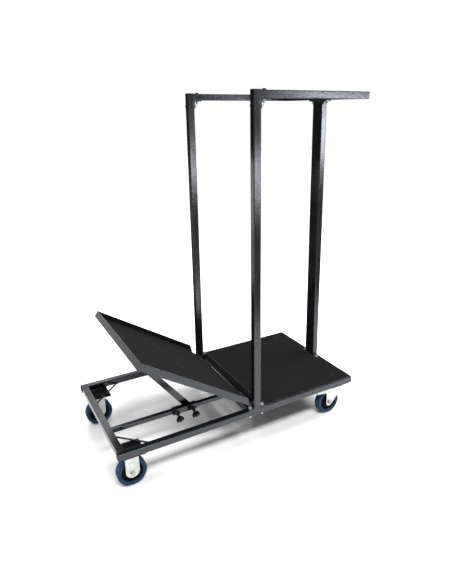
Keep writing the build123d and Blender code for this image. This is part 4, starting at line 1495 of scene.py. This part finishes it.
@dataclass(frozen=True)
class PhotoCamera:
    """Camera at the photograph's place, for an image of 452 by 584 pixels."""

    place: Place = (-1.00196, -2.01901, 1.48620)
    yaw: float = 30.80838
    pitch: float = -17.78833
    roll: float = -0.20403
    focal: float = 506.31
    centre: tuple[float, float] = (251.98, 272.06)
    image: tuple[int, int] = (452, 584)
    sensor: float = 36.0
    clip: tuple[float, float] = (0.05, 100.0)

    def build(self) -> None:
        """Stand the camera and make it the scene's own."""
        yaw, pitch, roll = (math.radians(value) for value in (self.yaw, self.pitch, self.roll))
        ahead = Vector((math.sin(yaw) * math.cos(pitch), math.cos(yaw) * math.cos(pitch), math.sin(pitch)))
        level = Vector((math.cos(yaw), -math.sin(yaw), 0.0))
        over = level.cross(ahead)
        right = level * math.cos(roll) + over * math.sin(roll)
        up = over * math.cos(roll) - level * math.sin(roll)
        data = bpy.data.cameras.new("photo_camera")
        width, height = self.image
        longest = max(self.image)
        data.sensor_width = self.sensor
        data.lens = self.focal / longest * self.sensor
        data.shift_x = (width / 2 - self.centre[0]) / longest
        data.shift_y = (self.centre[1] - height / 2) / longest
        data.clip_start, data.clip_end = self.clip
        camera = bpy.data.objects.new("photo_camera", data)
        turn = Matrix((right, up, -ahead)).transposed().to_4x4()
        camera.matrix_world = Matrix.Translation(self.place) @ turn
        bpy.context.scene.collection.objects.link(camera)
        bpy.context.scene.camera = camera


def ahead_softbox(name: str, place: Place, width: float, height: float, watts: float) -> Softbox:
    """A lamp that shows in reflections only and faces straight along Y.

    Args:
        name: The lamp's name.
        place: Where it hangs.
        width: Its width.
        height: Its height.
        watts: Its power.

    Returns:
        The lamp.
    """
    return Softbox(name, place, (place[0], 0.0, place[2]), width, height, watts, LampRole.GLEAM)


@dataclass
class Studio:
    """White floor, white surround and soft lamps."""

    floor_half: float = 14.0
    floor_drop: float = 0.3 * MM
    floor_white: str = "#f4f4f4"
    floor_bounce: str = "#8a8a8a"
    # The floor glows to the eye from near the dolly's shadow outwards: distances, then strengths.
    floor_glow: Ramp = (0.6, 1.5, 0.02, 1.0)
    # Strength of the surround as light, and as seen.
    surround: tuple[float, float] = (0.24, 1.0)
    lamps: tuple[Softbox, ...] = (
        Softbox("front_top_softbox", (-0.35, -2.4, 3.33), (-0.35, -0.1, 0.18), 2.0, 0.6, 150.0),
        Softbox("left_top_softbox", (-2.0, 0.3, 2.6), (-0.2, -0.1, 0.18), 1.2, 1.2, 34.0, LampRole.FILL),
        Softbox("right_top_softbox", (2.2, -0.3, 2.6), (-0.2, -0.1, 0.18), 1.2, 1.2, 84.0, LampRole.FILL),
        Softbox("back_top_softbox", (0.0, 2.4, 2.8), (-0.2, -0.1, 0.18), 1.2, 1.2, 40.0, LampRole.FILL),
        Softbox("overhead_softbox", (-0.2, 0.4, 3.7), (0.0, 0.0, 0.0), 3.0, 3.0, 46.0),
        ahead_softbox("front_right_softbox", (2.38, -2.5, 1.27), 1.0, 0.62, 30.0),
        ahead_softbox("front_upper_softbox", (1.85, -2.5, 1.64), 0.7, 0.16, 2.0),
        ahead_softbox("low_front_softbox", (1.35, -2.5, 0.90), 0.4, 0.40, 6.0),
        ahead_softbox("back_left_softbox", (-0.85, 0.90, 0.94), 1.1, 0.45, 2.5),
        ahead_softbox("back_left_lower_softbox", (-0.85, 0.90, 0.51), 1.1, 0.4, 1.2),
    )
    flags: tuple[Flag, ...] = (
        Flag("back_left_flag", upright((-4.0, -0.30), 1.6, (0.02, 4.0))),
        Flag("upper_back_flag", upright((-6.0, 7.0), 4.0, (2.7, 8.0))),
        Flag("right_back_flag", upright((1.2, 7.0), 4.0, (1.6, 2.7))),
        Flag("back_floor_flag", lying((-1.8, 0.6), (0.4, 0.6), (0.4, 1.6), (-1.8, 1.6))),
        Flag("front_flag", upright((-4.0, 6.0), -5.0, (0.0, 5.0))),
        Flag(
            "front_floor_flag",
            lying(
                (-1.0, -4.9),
                (6.0, -4.9),
                (6.0, -0.6),
                (1.75, -0.6),
                (1.25, -1.3),
                (0.6, -1.65),
                (-1.0, -1.75),
            ),
            0.4,
        ),
    )

    def rays(self, tree: bpy.types.NodeTree) -> None:
        """Add the test of what is seen: straight, in a reflection or through something.

        Args:
            tree: The floor's or the surround's tree.
        """
        add_node(tree, "rays", "LightPath")
        add_node(tree, "either", "Math", ("rays.Is Camera Ray", "rays.Is Glossy Ray"), operation="MAXIMUM")
        add_node(tree, "seen", "Math", ("either.Value", "rays.Is Transmission Ray"), operation="MAXIMUM")

    def floor(self) -> None:
        """Lay the floor: white paper that glows a little to the eye away from the dolly's shadow."""
        half = self.floor_half
        mesh = bpy.data.meshes.new("paper_floor")
        square = [(-half, -half), (half, -half), (half, half), (-half, half)]
        mesh.from_pydata([Vector((x, y, -self.floor_drop)) for x, y in square], [], [(0, 1, 2, 3)])
        material = bpy.data.materials.new("white_paper_floor")
        tree = bare_tree(material)
        add = partial(add_node, tree)
        self.rays(tree)
        add("place", "TexCoord")
        add("away", "VectorMath", ("place.Object",), operation="LENGTH")
        add("glow", "MapRange", ("away.Value", *self.floor_glow), interpolation_type="SMOOTHSTEP")
        add("strength", "Math", ("glow.Result", "rays.Is Camera Ray"), operation="MULTIPLY")
        whites = {"A": linear(self.floor_bounce), "B": linear(self.floor_white)}
        add("colour", "Mix", {"Factor": "seen.Value", **whites}, **RGBA)
        add("paper", "BsdfDiffuse", {"Color": "colour.Result"})
        add("light", "Emission", {"Strength": "strength.Value"})
        add("both", "AddShader", ("paper.BSDF", "light.Emission"))
        add("output", "OutputMaterial", {"Surface": "both.Shader"})
        mesh.materials.append(material)
        floor = bpy.data.objects.new("paper_floor", mesh)
        bpy.context.scene.collection.objects.link(floor)

    def world(self) -> None:
        """Make the surround: white to the eye and in reflections, dimmer as light."""
        world = bpy.data.worlds.new("white_surround")
        tree = bare_tree(world)
        self.rays(tree)
        add_node(tree, "strength", "MapRange", ("seen.Value", 0.0, 1.0, *self.surround))
        add_node(tree, "sky", "Background", {"Color": WHITE, "Strength": "strength.Result"})
        add_node(tree, "output", "OutputWorld", {"Surface": "sky.Background"})
        bpy.context.scene.world = world

    def build(self) -> None:
        """Set up the floor, surround, lamps, flags and colour view."""
        self.floor()
        self.world()
        for fitting in (*self.lamps, *self.flags):
            fitting.build()
        bpy.context.scene.view_settings.view_transform = "Standard"


def main() -> None:
    """Load the frame and build the dolly, the camera and the studio."""
    logging.basicConfig(level=logging.INFO, format="%(name)s: %(message)s")
    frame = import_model()
    nodes = frame["nodes"]
    welder = Welder()
    hardware = Hardware()
    PhotoCamera().build()
    Studio().build()
    assemblies = (
        BaseFrame(nodes, welder),
        Deck(nodes),
        PostFrame(nodes, hardware),
        Tray(nodes, welder),
        Prop(nodes, welder),
        Casters(nodes, hardware),
    )
    for assembly in assemblies:
        assembly.build()
        LOG.info("%s built", type(assembly).__name__)


if __name__ == "__main__":
    main()
